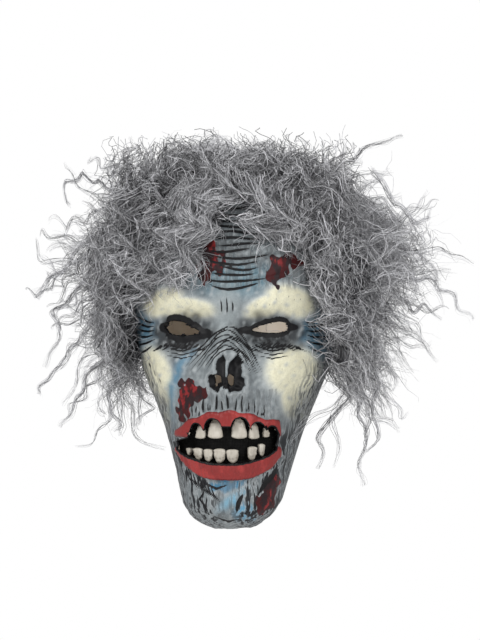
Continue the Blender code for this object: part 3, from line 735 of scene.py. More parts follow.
def make_skin():
    around = np.linspace(-math.pi, math.pi, SKIN_COLUMNS, endpoint=False)
    bearing = around - FRONT_DENSITY * np.sin(around)
    share = np.linspace(0, 1, SKIN_ROWS + 1)[:-1]
    hem = hem_height(bearing)
    wall_length, dome_length = CROWN_FROM - hem[None, :], 1.6 * (HEAD_HEIGHT - CROWN_FROM)
    run = share[:, None] * (wall_length + dome_length)
    over_crown = np.clip((run - wall_length) / dome_length, 0, 1)
    rise = (HEAD_HEIGHT - CROWN_FROM) * np.sin(math.pi / 2 * over_crown)
    z = np.where(run < wall_length, hem[None, :] + run, CROWN_FROM + rise)
    turn = np.broadcast_to(bearing, z.shape)
    x, y = head_point(turn, z)
    front = np.cos(turn) > 0.05
    plain = np.stack([x, y, z], -1)
    normal = np.cross(np.roll(plain, -1, 1) - np.roll(plain, 1, 1), np.gradient(plain, axis=0))
    normal /= np.linalg.norm(normal, axis=-1, keepdims=True) + 1e-9

    inside = np.zeros(z.shape, bool)
    holes = [(lambda at, hole=hole: almond_edges(at, hole), hole[0] - hole[2], hole[0] + hole[2])
             for hole in (*EYE_HOLES, *NOSTRILS)]
    for edges, low_x, high_x in (*holes, (mouth_edges, MOUTH_LEFT, MOUTH_RIGHT)):
        hit, moved = snap_to_hole(x, z, edges, low_x, high_x)
        hit &= front
        inside |= hit
        z = np.where(hit, moved, z)
    y = np.where(front, front_depth(x, z), y)

    facing = smooth(0.02, 0.4, np.cos(turn))
    points = np.stack([x, y, z], -1) + normal * (skin_detail(x, z) * facing)[..., None]

    quads = grid_faces(SKIN_ROWS, SKIN_COLUMNS, True)
    flat_inside = inside.ravel()
    quads = quads[~flat_inside[quads].all(1)]
    apex = np.array([[0, CENTRE_Y, HEAD_HEIGHT]])
    last = (SKIN_ROWS - 1) * SKIN_COLUMNS + np.arange(SKIN_COLUMNS)
    cap = np.stack([last, np.roll(last, -1), np.full(SKIN_COLUMNS, SKIN_ROWS * SKIN_COLUMNS)], 1)
    colours = np.concatenate([soft_paint(x, y, z).reshape(-1, 3), [srgb(74, 78, 82)]])
    colours = np.concatenate([colours, np.ones((len(colours), 1))], 1)
    marks = np.concatenate([paint_marks(x, y, z).reshape(-1, 4), np.zeros((1, 4))])
    used = np.unique(np.concatenate([quads.ravel(), cap.ravel()]))
    renumber = np.zeros(SKIN_ROWS * SKIN_COLUMNS + 1, int)
    renumber[used] = np.arange(len(used))
    all_points = np.concatenate([points.reshape(-1, 3), apex])[used]
    attributes = (("paint", "FLOAT_COLOR", colours[used]), ("marks", "FLOAT_COLOR", marks[used]))
    skin = build_mesh("painted_skin", all_points, (renumber[quads], renumber[cap]), attributes)
    skin.data.materials.append(painted_latex())
    skin.data.materials.append(raw_latex())
    wall = skin.modifiers.new("wall", "SOLIDIFY")
    wall.thickness = WALL * MM
    wall.offset = -1
    wall.material_offset = 1
    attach(skin, "root")
    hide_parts("latex_skin")
    return skin


def make_rims():
    """The thick edges of the eye holes, painted black."""
    steps, sides = 56, 8
    turns = np.arange(sides) * math.tau / sides
    rings, faces = [], []
    for number, hole in enumerate(EYE_HOLES):
        across = -np.cos(np.linspace(0, math.pi, steps // 2 + 1))
        x = hole[0] + hole[2] * np.concatenate([across, across[-2:0:-1]])
        low, high = almond_edges(x, hole)
        z = np.concatenate([high[:steps // 2 + 1], low[steps // 2 + 1:]])
        normal = front_normal(x, z)
        y = front_depth(x, z)
        centre = np.stack([x, y, z], -1) + normal * (skin_detail(x, z) - RIM_RADIUS)[:, None]
        course = unit(np.roll(centre, -1, 0) - np.roll(centre, 1, 0))
        side = np.cross(course, normal)
        ring = centre[:, None] + RIM_RADIUS * (side[:, None] * np.cos(turns)[:, None]
                                               + normal[:, None] * np.sin(turns)[:, None])
        i, j = np.meshgrid(np.arange(steps), np.arange(sides), indexing="ij")
        after_i, after_j = (i + 1) % steps, (j + 1) % sides
        quads = np.stack([i * sides + j, after_i * sides + j,
                          after_i * sides + after_j, i * sides + after_j], -1)
        faces.append(quads.reshape(-1, 4) + number * steps * sides)
        rings.append(ring.reshape(-1, 3))
    points = np.concatenate(rings)
    rims = build_mesh("painted_rims", points, (np.concatenate(faces),))
    rims.data.materials.append(plain_material("rim_ink", srgb(20, 20, 22), 0.9, 0.08))
    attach(rims, "root")


# ---- teeth and gauze --------------------------------------------------------------------------------

def make_tooth(node, centre, width, top, bottom, upper, enamel):
    """A pebble-shaped tooth: rounded at the gum and flatter at its worn biting edge."""
    low, high = (np.array(corner) / MM + HEAD_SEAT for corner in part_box(node))
    middle = (top + bottom) / 2
    rng = np.random.default_rng(int(abs(centre) * 10) + (100 if upper else 200))
    rings, sides = 24, 28
    share = (1 - np.cos(np.linspace(0, math.pi, rings)))[:, None] / 2
    turn = np.linspace(0, math.tau, sides, endpoint=False)[None, :]
    power = lambda value, exponent: np.sign(value) * np.abs(value) ** exponent
    gum_shape = (2.2, 0.5) if upper else (3.2, 0.5)
    girth = (1 - share ** gum_shape[0]) ** gum_shape[1] * np.clip(share / 0.1, 0, 1) ** 0.35
    lean = 0.06 * width * rng.standard_normal() * (share - 0.5)
    x = girth * power(np.cos(turn), 0.75) * width / 2 + lean
    y = girth * power(np.sin(turn), 0.85) * TOOTH_THICKNESS / 2
    rise = (2 * share - 1) * (1 if upper else -1) * np.ones_like(turn)
    z = rise * (top - bottom) / 2
    x = x + 0.2 * noise(y + z, z, 4, 4, int(rng.integers(1000)))
    y = y + 0.2 * noise(x, z, 3, 5, int(rng.integers(1000)))
    normal = front_normal(np.array([float(centre)]), np.array([float(middle)]))[0]
    yaw = math.atan2(normal[0], -normal[1]) + 0.08 * rng.standard_normal()
    turned = np.stack([x * math.cos(yaw) - y * math.sin(yaw), x * math.sin(yaw) + y * math.cos(yaw), z], -1)
    place = np.array([(low[0] + high[0]) / 2, (low[1] + high[1]) / 2, middle])
    points = (turned + place).reshape(-1, 3)
    quads = grid_faces(rings, sides, True)
    tooth_darkening = smooth(0.6, 1.1, share + 0.25 * noise(x, z, 3, 3, 71)) * 0.5
    # painted shade down the two sides of each tooth, where it meets its neighbours
    side_shadow = 0.5 * smooth(0.86, 1.0, np.abs(np.cos(turn)) * np.ones_like(share))
    tooth = build_mesh(f"{node}_enamel", points, (quads,),
                       (("tooth_darkening", "FLOAT", np.clip(tooth_darkening + side_shadow, 0, 0.8)),))
    weld = bmesh.new()
    weld.from_mesh(tooth.data)
    bmesh.ops.remove_doubles(weld, verts=weld.verts, dist=1e-5)
    bmesh.ops.recalc_face_normals(weld, faces=weld.faces)
    weld.to_mesh(tooth.data)
    weld.free()
    tooth.data.materials.append(enamel)
    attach(tooth, "root")
    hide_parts(node)


def make_teeth():
    enamel = tooth_enamel()
    for number, tooth in enumerate(UPPER_TEETH, 1):
        make_tooth(f"upper_tooth_{number}", *tooth, True, enamel)
    for number, tooth in enumerate(LOWER_TEETH, 1):
        make_tooth(f"lower_tooth_{number}", *tooth, False, enamel)


def make_gauze():
    """A panel glued inside the face, dished in behind the teeth, with slack folds."""
    rows, columns = 50, 84
    v, u = np.meshgrid(np.linspace(0, 1, rows), np.linspace(0, 1, columns), indexing="ij")
    z = 46 + 54 * v
    x = (2 * u - 1) * section(z)[0] * 0.86
    rim = np.maximum(np.abs(2 * u - 1), np.abs(2 * v - 1))
    dish = 8.5 * np.minimum(1, (1 - rim) / 0.17)
    slack = 0.5 * noise(x, z, 9, 16, 81) * smooth(1, 0.8, rim)
    normal = front_normal(x, z)
    surface = np.stack([x, front_depth(x, z), z], -1)
    depth = WALL + 0.8 + dish + slack - np.minimum(skin_detail(x, z), 0)
    points = surface - normal * depth[..., None]
    gauze = build_mesh("mouth_gauze_cloth", points.reshape(-1, 3), (grid_faces(rows, columns, False),))
    gauze.data.materials.append(black_gauze())
    thick = gauze.modifiers.new("thread", "SOLIDIFY")
    thick.thickness = 0.5 * MM
    thick.offset = 0
    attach(gauze, "root")
    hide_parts("mouth_gauze")


# ---- hair -------------------------------------------------------------------------------------------

# Cross-sections of the hair's sections, out from the hinge and down: (distance from the axis, height).
# Each section lies between an inner and an outer outline of as many points.
SIDE_INNER = ((58, 276), (70, 263), (80, 244), (87, 224), (89, 202), (89, 180), (88, 158), (87, 135),
              (86, 118), (86, 100))
LEFT_OUTER = ((56, 275), (72, 267), (91, 257), (108, 244), (119, 230), (121, 210), (118, 183), (114, 155),
              (108, 128), (102, 104))
RIGHT_OUTER = ((56, 275), (76, 268), (99, 261), (128, 250), (155, 232), (150, 214), (128, 187), (118, 158),
               (113, 130), (109, 104))
BACK_INNER = ((66, 276), (79, 264), (89, 251), (98, 233), (103, 213), (105, 190), (103, 160), (101, 135),
              (100, 108))
BACK_OUTER = ((66, 300), (91, 292), (112, 280), (126, 258), (131, 230), (132, 200), (130, 170), (126, 140),
              (118, 104))
SIDE_FRONT, SIDE_BACK = -62.0, 86.0
PARTING_X = 3.0
HAIR_LIMITS = np.array([[-178.0, -122.0, 0.0], [206.0, 146.0, 332.0]])
SWEEPS = {-1: ((1.2, 0, -0.7), 0.75), 1: ((2.6, 0, -1.4), 1.2)}
LONG_POINTS = 36
FRIZZ_POINTS = 20
LONG_PER_PIECE = 900
FRIZZ_PER_PIECE = 1600

LOCKS = (
    ("lock_left_loop", "section_left", 1.8,
     ((-122, -20, 284), (-131, -24, 284), (-141, -28, 273), (-134, -30, 258))),
    ("lock_left_wisp", "section_left", 1.6, ((-142, -30, 207), (-152, -38, 199), (-161, -44, 188))),
    ("lock_left_curl", "section_left", 2.0, ((-141, -10, 181), (-152, -16, 172), (-145, -20, 158),
                                             (-151, -14, 145), (-162, -8, 127))),
    ("lock_left_tip", "section_left", 1.8, ((-136, -26, 140), (-147, -30, 124), (-160, -30, 111),
                                            (-162, -26, 104))),
    ("lock_left_straight", "section_left", 2.6, ((-120, -40, 118), (-124, -46, 104), (-131, -50, 92),
                                                 (-138, -52, 78))),
    ("lock_left_curly", "section_left", 2.2,
     ((-104, -30, 104), (-101, -34, 92), (-94, -32, 82), (-98, -28, 74))),
    ("lock_right_top", "section_right", 2.0, ((96, -16, 297), (113, -20, 309), (138, -22, 316))),
    ("lock_right_upper", "section_right", 1.8, ((138, -26, 255), (150, -30, 246), (158, -30, 248),
                                                (161, -28, 257))),
    ("lock_right_long", "section_right", 1.8, ((142, -30, 202), (160, -38, 197), (178, -42, 184),
                                               (193, -44, 165))),
    ("lock_right_curly", "section_right", 2.0, ((140, -6, 180), (148, -10, 173), (156, -12, 179),
                                                (169, -16, 166))),
    ("lock_right_front", "section_right", 2.4, ((95, -44, 104), (87, -50, 92), (71, -48, 74), (75, -46, 62),
                                                (71, -44, 46))),
    ("lock_right_hanging", "section_right", 2.4, ((104, -20, 104), (103, -24, 88), (110, -24, 69),
                                                  (103, -20, 52), (106, -18, 30))),
    ("lock_right_lower", "section_right", 2.2, ((119, -36, 118), (114, -40, 100), (118, -38, 73),
                                                (110, -34, 59))),
)


def unit(vectors):
    return vectors / (np.linalg.norm(vectors, axis=-1, keepdims=True) + 1e-9)


def along_outline(points, share):
    """Points at shares (0 to 1) of the way down an outline of evenly numbered points."""
    points = np.array(points, float)
    place = np.clip(share, 0, 1) * (len(points) - 1)
    i = np.minimum(place.astype(int), len(points) - 2)
    return points[i] + (points[i + 1] - points[i]) * (place - i)[..., None]


def side_place(sign, u, v, w):
    """A point of a side section: u from front to back, v down the fall, w outwards."""
    inner, outer = along_outline(SIDE_INNER, v), along_outline(LEFT_OUTER if sign < 0 else RIGHT_OUTER, v)
    lumps = 0.94 - 0.26 * (2 * u - 1) ** 2 + 0.16 * np.sin(14 * u + 11 * v)
    spot = inner + (outer - inner) * (w * lumps)[..., None]
    y = SIDE_FRONT + (SIDE_BACK - SIDE_FRONT) * u
    return np.stack([sign * spot[..., 0], y, spot[..., 1]], -1)


def temple_place(sign, u, v, w):
    """Hair in front of the temples: u outwards, v down, w away from the skin."""
    z = 290 - (118 if sign < 0 else 148) * v
    inner = through(((142, 79), (172, 76), (189, 66), (205, 60), (260, 50), (290, 44)), z)
    x = inner + (98 - inner) * u
    skin = front_depth(np.minimum(x, 80), np.minimum(z, 258))
    y = np.minimum(skin, -60 + 8 * smooth(86, 98, x)) - 2 - 14 * w
    return np.stack([sign * x, y, z], -1)


def fringe_place(sign, u, v, w):
    """Hair over the forehead: u from the parting outwards, v down, w away from the skin."""
    low = 186 if sign < 0 else 222
    z = 292 - (292 - low) * v
    bare = (30 if sign < 0 else 40) * np.clip((268 - z) / 72, 0, 1) ** 0.85
    x = PARTING_X + sign * (bare + (66 - bare) * u)
    y = front_depth(np.clip(x, -78, 78), np.minimum(z, 262)) - 2 - 17 * w * smooth(0, 0.2, 1.03 - v)
    return np.stack([x, y, z], -1)


def crown_place(u, v, w):
    """Hair on top: u from front to back, v from left to right, w upwards."""
    x, y = -66 + 134 * v, -60 + 122 * u
    low = over_scalp(x, y, 2)[..., 2]
    lumps = 4 * np.sin(x / 9) + 3 * np.sin(x / 4.3 + 2)
    top = 311 - 0.14 * x + lumps - 30 * (2 * v - 1) ** 2 - 26 * (2 * u - 1) ** 4
    dip = 10 * np.exp(-((x - 6) / 12) ** 2)
    return np.stack([x, y, low + (np.maximum(top - dip, low + 6) - low) * w], -1)


def back_place(u, v, w):
    """A point of the back section: u from left to right, v down the fall, w outwards."""
    inner, outer = along_outline(BACK_INNER, v), along_outline(BACK_OUTER, v)
    spot = inner + (outer - inner) * (w * (1 - 0.2 * (2 * u - 1) ** 2))[..., None]
    across = 2 * u - 1
    return np.stack([across * (74 + 22 * w), spot[..., 0] * (1 - 0.24 * np.abs(across) ** 3),
                     spot[..., 1]], -1)


def tousle(points):
    """Swirls that neighbouring fibres share, so that they lie in wavy locks."""
    swirls = np.zeros(points.shape)
    for size, height in ((52, 6.5), (26, 2.4)):
        for axis in range(3):
            first, second = points[..., (axis + 1) % 3], points[..., (axis + 2) % 3] + 0.6 * points[..., axis]
            swirls[..., axis] += height * noise(first, second, size / 2, size / 2, 200 + axis + int(size), 8)
    return swirls * np.array([1.0, 0.7, 0.8])


def squeezed(share):
    """Leaves shares from 0.04 to 0.96 as they are, and bends those beyond back inside 0 to 1."""
    inside = np.clip(share, 0.04, 0.96)
    return inside + 0.04 * np.tanh((share - inside) / 0.04)


def bezier(first, second, third, fourth, count):
    t = np.linspace(0, 1, count)[None, :, None]
    return ((1 - t) ** 3 * first[:, None] + 3 * t * (1 - t) ** 2 * second[:, None]
            + 3 * t * t * (1 - t) * third[:, None] + t ** 3 * fourth[:, None])


def curled(rng, lines, size, wave, wander, rooted, swirl=1.0):
    """Adds curls of a size and a wavelength, a slower wander and a share of the common swirls to lines;
    rooted ones start straight."""
    count, points, _ = lines.shape
    length = np.linalg.norm(np.diff(lines, axis=1), axis=2).sum(1)[:, None]
    along = np.linspace(0, 1, points)[None, :]
    course = unit(lines[:, -1] - lines[:, 0])
    first = unit(np.cross(course, rng.normal(size=(count, 3))))
    second = np.cross(course, first)
    grow = smooth(0, 0.25, along) if rooted else 1.0
    pitch = wave * rng.uniform(0.7, 1.4, (count, 1))
    height = size * rng.uniform(0.4, 1.5, (count, 1))
    phase = rng.uniform(0, math.tau, (count, 1))
    flat = rng.uniform(0.2, 1.0, (count, 1))
    for side, shift, weight in ((first, 0.0, 1.0), (second, math.pi / 2, flat)):
        quick = height * weight * np.sin(math.tau * along * length / pitch + phase + shift)
        slow_phase = rng.uniform(0, math.tau, (count, 1))
        slow_pitch = rng.uniform(45, 95, (count, 1))
        slow = np.sin(math.tau * along * length / slow_pitch + slow_phase) - np.sin(slow_phase)
        offset = quick * grow + wander * rng.uniform(0.3, 1.2, (count, 1)) * slow * along
        lines = lines + side[:, None, :] * offset[..., None]
    lines = lines + swirl * tousle(lines) * np.minimum(along * (4 if rooted else 9), 1)[..., None]
    low, high = HAIR_LIMITS
    return low + (high - low) * squeezed((lines - low) / (high - low))


def tubes(name, lines, radii, shade, finish, body):
    """Closed three-sided tubes along lines, tapering at the tips."""
    count, points, _ = lines.shape
    tangent = unit(np.gradient(lines, axis=1))
    side = unit(np.cross(tangent, np.array([0.31, 0.52, 0.79])))
    other = np.cross(tangent, side)
    taper = np.clip(1.15 - np.linspace(0, 1, points) ** 3, 0.25, 1)[None, :, None, None]
    turns = np.arange(3) * math.tau / 3
    ring = side[:, :, None, :] * np.cos(turns)[:, None] + other[:, :, None, :] * np.sin(turns)[:, None]
    verts = lines[:, :, None, :] + ring * radii[:, None, None, None] * taper
    base = np.arange(count)[:, None, None] * points * 3
    i = np.arange(points - 1)[None, :, None]
    j = np.arange(3)[None, None, :]
    after = (j + 1) % 3
    quads = np.stack([base + i * 3 + j, base + i * 3 + after, base + (i + 1) * 3 + after,
                      base + (i + 1) * 3 + j], -1).reshape(-1, 4)
    start = np.arange(count)[:, None] * points * 3
    caps = np.concatenate([start + np.array([[2, 1, 0]]), start + (points - 1) * 3 + np.array([[0, 1, 2]])])
    tone = np.clip(np.broadcast_to(shade, (count, points))[..., None] * np.ones(3), 0, 1)
    hair = build_mesh(name, verts.reshape(-1, 3), (quads, caps), (("shade", "FLOAT", tone),))
    hair.data.materials.append(finish)
    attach(hair, body)
    return hair


def fibre_shade(rng, lines, depth=1.0):
    """A frosted mix: dark, middle and light fibres in drifts, darker deep in the hair and lighter at the
    tips."""
    count, points, _ = lines.shape
    middle = lines[:, points // 2]
    drift = 0.13 * noise(middle[:, 0] + 0.5 * middle[:, 1], middle[:, 2], 10, 16, 77)
    base = rng.choice([0.14, 0.46, 1.0], count, p=[0.27, 0.4, 0.33]) + rng.normal(0, 0.08, count) + drift
    # fibres deep in the hair are darkened: painted shade of the hair around them
    base = base * (0.42 + 0.58 * depth)
    return base[:, None] + np.linspace(-0.05, 0.1, points)[None, :]


def clumped(rng, lines, size, pull):
    """Draws strands together towards the tips of a few leaders, as locks do."""
    count, points, _ = lines.shape
    leaders = rng.choice(count, max(1, count // size), replace=False)
    gaps = np.linalg.norm(lines[:, None, points // 2] - lines[leaders, points // 2][None], axis=2)
    nearest = leaders[np.argmin(gaps, 1)]
    share = pull * smooth(0.15, 1.0, np.linspace(0, 1, points))[None, :, None]
    return lines + (lines[nearest] - lines) * share


def frizz(rng, count, place, length, tangle, sweep=(0, 0, 0), until=0.5):
    """Short curled fibres all through a section, roughly along its fall, and along sweep near its top:
    (lines, how far out each lies)."""
    u, v, w = rng.uniform(0, 1, (3, count))
    v, w = 0.9 * v ** 1.1, 1.08 * w ** 1.5
    middle = place(u, v, w)
    course = unit(heading(place, u, v, w, sweep, until) + np.array(tangle) * rng.normal(size=(count, 3)))
    bend = unit(rng.normal(size=(count, 3))) * rng.uniform(0.05, 0.35, (count, 1))
    reach = rng.uniform(*length, (count, 1, 1))
    t = np.linspace(-0.5, 0.5, FRIZZ_POINTS)[None, :, None]
    lines = middle[:, None] + reach * (t * course[:, None] + (t * t - 0.08) * bend[:, None] * 2)
    return curled(rng, lines, 2.1, 24, 2.0, False), w


def heading(place, u, v, w, sweep, until):
    """The way that hair falls at a place, turned towards sweep above a share of the fall."""
    fall = unit(place(u, np.minimum(v + 0.06, 1), w) - place(u, np.maximum(v - 0.06, 0), w))
    return unit(fall + np.array(sweep, float) * (smooth(until, 0.5 * until, v) * (1 - 0.7 * w))[:, None])


def add_fibres(name, rng, lines, radius, shade, finish, body, most):
    """Splits fibres into pieces of moderate size."""
    radii = radius * rng.uniform(0.6, 1.3, len(lines))
    made = []
    for number, start in enumerate(range(0, len(lines), most), 1):
        part = slice(start, start + most)
        made.append(tubes(f"{name}_{number}", lines[part], radii[part], shade[part], finish, body))
    return made


def add_section(name, rng, body, long_lines, frizzes, finish, nodes=()):
    """The long strands and the frizz of one section of hair."""
    long_lines = curled(rng, long_lines, 1.7, 22, 6, True)
    shade = fibre_shade(rng, long_lines) + 0.12
    made = add_fibres(f"{name}_strands", rng, long_lines, 0.27, shade, finish, body, LONG_PER_PIECE)
    lines = np.concatenate([lines for lines, _ in frizzes])
    depth = np.concatenate([depth for _, depth in frizzes])
    shade = fibre_shade(rng, lines, np.clip(depth * 1.6, 0, 1))
    add_fibres(f"{name}_frizz", rng, lines, 0.25, shade, finish, body, FRIZZ_PER_PIECE)
    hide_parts(*nodes)


def side_lines(rng, count, sign):
    """Strands from the side weft, fanning out and falling to every part of the section."""
    y = rng.uniform(-54, 58, count)
    root = over_scalp(rng.uniform(50, 61, count), y, 0.5)
    low = rng.uniform(202, 262, count)
    bearing = np.arccos(np.clip(-(y - CENTRE_Y) / 100, -0.9, 0.9))
    lower_x, lower_y = head_point(bearing, low)
    scattered = rng.random(count) < 0.4
    root = np.where(scattered[:, None], np.stack([lower_x, lower_y, low], -1), root)
    v = rng.uniform(0.05, 1, count)
    v = np.where(scattered, np.maximum(v, 0.4), v)
    u = np.clip((root[:, 1] - SIDE_FRONT) / (SIDE_BACK - SIDE_FRONT) + rng.normal(0, 0.1, count), 0, 1)
    w = 1.12 * rng.uniform(0.15, 1, count)
    mirror = np.array([sign, 1, 1])
    last = side_place(sign, u, v, w) * mirror
    reach = np.linalg.norm(last - root, axis=1)
    tilt = np.radians(rng.uniform(5, 45, count))
    rise = np.stack([np.cos(tilt), 0.15 * np.sign(root[:, 1]), np.sin(tilt)], -1)
    second = root + rise * (0.4 * reach)[:, None]
    arrival = heading(lambda *at: side_place(sign, *at) * mirror, u, v, w, *SWEEPS[sign]) * [1, 0.4, 1]
    third = last - arrival * (0.4 * reach)[:, None]
    lines = clumped(rng, bezier(root, second, third, last, LONG_POINTS), 16, 0.6)
    return lines * mirror


def back_lines(rng, count):
    u = rng.uniform(0.05, 0.95, count)
    root = over_scalp((2 * u - 1) * 58, rng.uniform(64, 70, count), 1.0)
    v, w = rng.uniform(0.1, 1, count) ** 0.85, rng.uniform(0.3, 1.05, count) ** 0.7
    last = back_place(np.clip(0.5 + 1.1 * (u - 0.5) + rng.normal(0, 0.08, count), 0, 1), v, w)
    reach = np.linalg.norm(last - root, axis=1)
    tilt = np.radians(rng.uniform(5, 40, count))
    second = root + np.stack([0 * u, np.cos(tilt), np.sin(tilt)], -1) * (0.4 * reach)[:, None]
    third = last + np.stack([rng.normal(0, 4, count), 0.1 * reach, 0.4 * reach * smooth(0, 0.5, v)], -1)
    return clumped(rng, bezier(root, second, third, last, LONG_POINTS), 14, 0.5)


def crown_lines(rng, count):
    """Strands from the parting over the top of the head, tousled."""
    y = rng.uniform(-56, 60, count)
    root = over_scalp(PARTING_X + rng.normal(0, 9, count), y, 0.5)
    side = np.where(rng.random(count) < 0.5, -1, 1)
    far = side * rng.uniform(18, 76, count)
    last = crown_place((y * 1.05 + 60) / 122, np.clip((far + 66) / 134, 0, 1), rng.uniform(0.3, 1.05, count))
    last[:, 0] = far
    second = root + np.stack([side * 6, rng.normal(0, 6, count), rng.uniform(6, 18, count)], -1)
    third = last + np.stack([-side * rng.uniform(5, 22, count), rng.normal(0, 8, count),
                             rng.uniform(2, 14, count)], -1)
    return clumped(rng, bezier(root, second, third, last, LONG_POINTS), 10, 0.4)


def fringe_lines(rng, count, sign):
    """Strands that fall from the hairline and sweep aside, leaving the middle of the forehead bare."""
    x = PARTING_X + sign * rng.uniform(0, 50, count)
    root = over_scalp(x, rng.uniform(-60, -52, count), 0.5)
    v = rng.uniform(0.3, 1.08, count)
    u = np.clip(np.abs(x - PARTING_X) / 60 + rng.uniform(0, 0.5, count), 0, 1.1)
    last = fringe_place(sign, u, v, rng.uniform(0.2, 1.1, count))
    reach = np.linalg.norm(last - root, axis=1)
    second = root + np.stack([sign * rng.uniform(0.1, 0.4, count), -0.6 * np.ones(count),
                              rng.uniform(0.3, 0.9, count)], -1) * (0.45 * reach)[:, None]
    third = last + np.stack([-sign * 0.3 * reach, -rng.uniform(0.05, 0.25, count) * reach, 0.3 * reach], -1)
    return clumped(rng, bezier(root, second, third, last, LONG_POINTS), 12, 0.5)


def underlay(name, place, cuts, finish, body):
    """The dense hair next to the head, dark with painted shade: a lumpy closed body bent by place(u, v, w).
    """
    made = bmesh.new()
    bmesh.ops.create_cube(made, size=1)
    for axis, count in enumerate(cuts):
        along = [edge for edge in made.edges if abs((edge.verts[0].co - edge.verts[1].co)[axis]) > 0.9]
        bmesh.ops.subdivide_edges(made, edges=along, cuts=count - 1, use_grid_fill=True)
    share = np.array([vert.co for vert in made.verts]) + 0.5
    points = place(share[:, 0], share[:, 1], share[:, 2])
    lump = np.stack([noise(points[:, 1] + 40 * axis, points[:, 2] + points[:, 0], 12, 10, 90 + axis)
                     for axis in range(3)], -1)
    points = points + 1.8 * lump
    for vert, point in zip(made.verts, points):
        vert.co = Vector((point - HEAD_SEAT) * MM)
    made.normal_update()
    bmesh.ops.recalc_face_normals(made, faces=made.faces)
    mesh = bpy.data.meshes.new(name)
    made.to_mesh(mesh)
    made.free()
    mesh.shade_smooth()
    mesh.materials.append(finish)
    obj = bpy.data.objects.new(name, mesh)
    bpy.context.scene.collection.objects.link(obj)
    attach(obj, body)


def underlay_material():
    """Deep hair in painted shade: near-black with finer and coarser streaks of grey."""
    made, tree, shader = new_material("hair_underlay_shade", 0.75, 0.15)
    fine = noise_node(tree, 330, (1, 1, 0.3), 5.0)
    # the near-black is painted shade, standing for the shadow deep in the hair
    grey = ramp(tree, fine, 0.4, 0.7, srgb(46, 46, 48), srgb(128, 128, 131))
    tree.links.new(grey, shader.inputs["Base Color"])
    bump(tree, shader, fine, 1.0, 0.002)
    return made


def lock_route(sign, route, count):
    """A smooth run of points through a lock's few route points, starting deep inside its section."""
    start = np.array(route[0], float)
    rises = start[2] < 270
    deep = start + np.array([-sign * 26, -0.3 * start[1], 34 if rises else -16])
    near = start + np.array([-sign * 11, -0.1 * start[1], 14 if rises else -6])
    points = [deep, near, *[np.array(point, float) for point in route]]
    padded = [2 * points[0] - points[1], *points, 2 * points[-1] - points[-2]]
    spots = []
    for place in np.linspace(0, len(points) - 1, count):
        i = min(int(place), len(points) - 2)
        t = place - i
        before, start, end, after = padded[i:i + 4]
        spots.append((2 * start + (end - before) * t + (2 * before - 5 * start + 4 * end - after) * t * t
                      + (3 * start - before - 3 * end + after) * t ** 3) / 2)
    return np.array(spots)


def make_locks(finish):
    """Each free lock is a bundle of fibres that draws together towards its tip."""
    rng = np.random.default_rng(CURL_SEED + 7)
    for name, body, radius, route in LOCKS:
        count = 15
        middle = lock_route(-1 if body == "section_left" else 1, route, 48)
        middle = curled(rng, middle[None], 2.2, 26, 0, True, 0)
        spread = rng.normal(0, 1, (count, 1, 3)) * radius * 0.5
        narrow = 1.6 - 1.3 * np.linspace(0, 1, 48)[None, :, None]
        lines = curled(rng, middle + spread * narrow, 0.6, 15, 1.5, False, 0)
        shade = fibre_shade(rng, lines) + 0.05
        lock = tubes(f"{name}_strands", lines, rng.uniform(0.14, 0.26, count), shade, finish, body)
        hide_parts(name)


def make_flyaways(finish):
    """Loose curls that stand out of the two side sections, each of a few fibres drawn together."""
    rng = np.random.default_rng(CURL_SEED + 9)
    for sign, side in ((-1, "left"), (1, "right")):
        count, fibres = 84, 7
        v = rng.uniform(0, 1, count)
        first = side_place(1, rng.uniform(0, 1, count), v, rng.uniform(0.3, 0.8, count))
        angle = np.radians(30 - 110 * v + rng.normal(0, 22, count))
        reach = rng.uniform(24, 66, count)
        away = np.stack([np.cos(angle) * reach, rng.normal(0, 12, count), np.sin(angle) * reach], -1)
        last = first + away
        second = first + away * 0.33 + rng.normal(0, 10, (count, 3))
        third = first + away * 0.7 + rng.normal(0, 10, (count, 3))
        middle = bezier(first, second, third, last, LONG_POINTS) * np.array([sign, 1, 1])
        middle = curled(rng, middle, 3.2 if sign < 0 else 1.6, 28, 5, True, 0)
        spread = np.repeat(rng.normal(0, 1, (count * fibres, 1, 3)), LONG_POINTS, 1)
        narrow = 1.7 - 1.3 * np.linspace(0, 1, LONG_POINTS)[None, :, None]
        lines = curled(rng, np.repeat(middle, fibres, 0) + spread * narrow, 0.6, 18, 1.5, False, 0)
        shade = fibre_shade(rng, lines) + 0.05
        radii = rng.uniform(0.12, 0.24, len(lines))
        tubes(f"flyaway_{side}_strands", lines, radii, shade, finish, f"section_{side}")


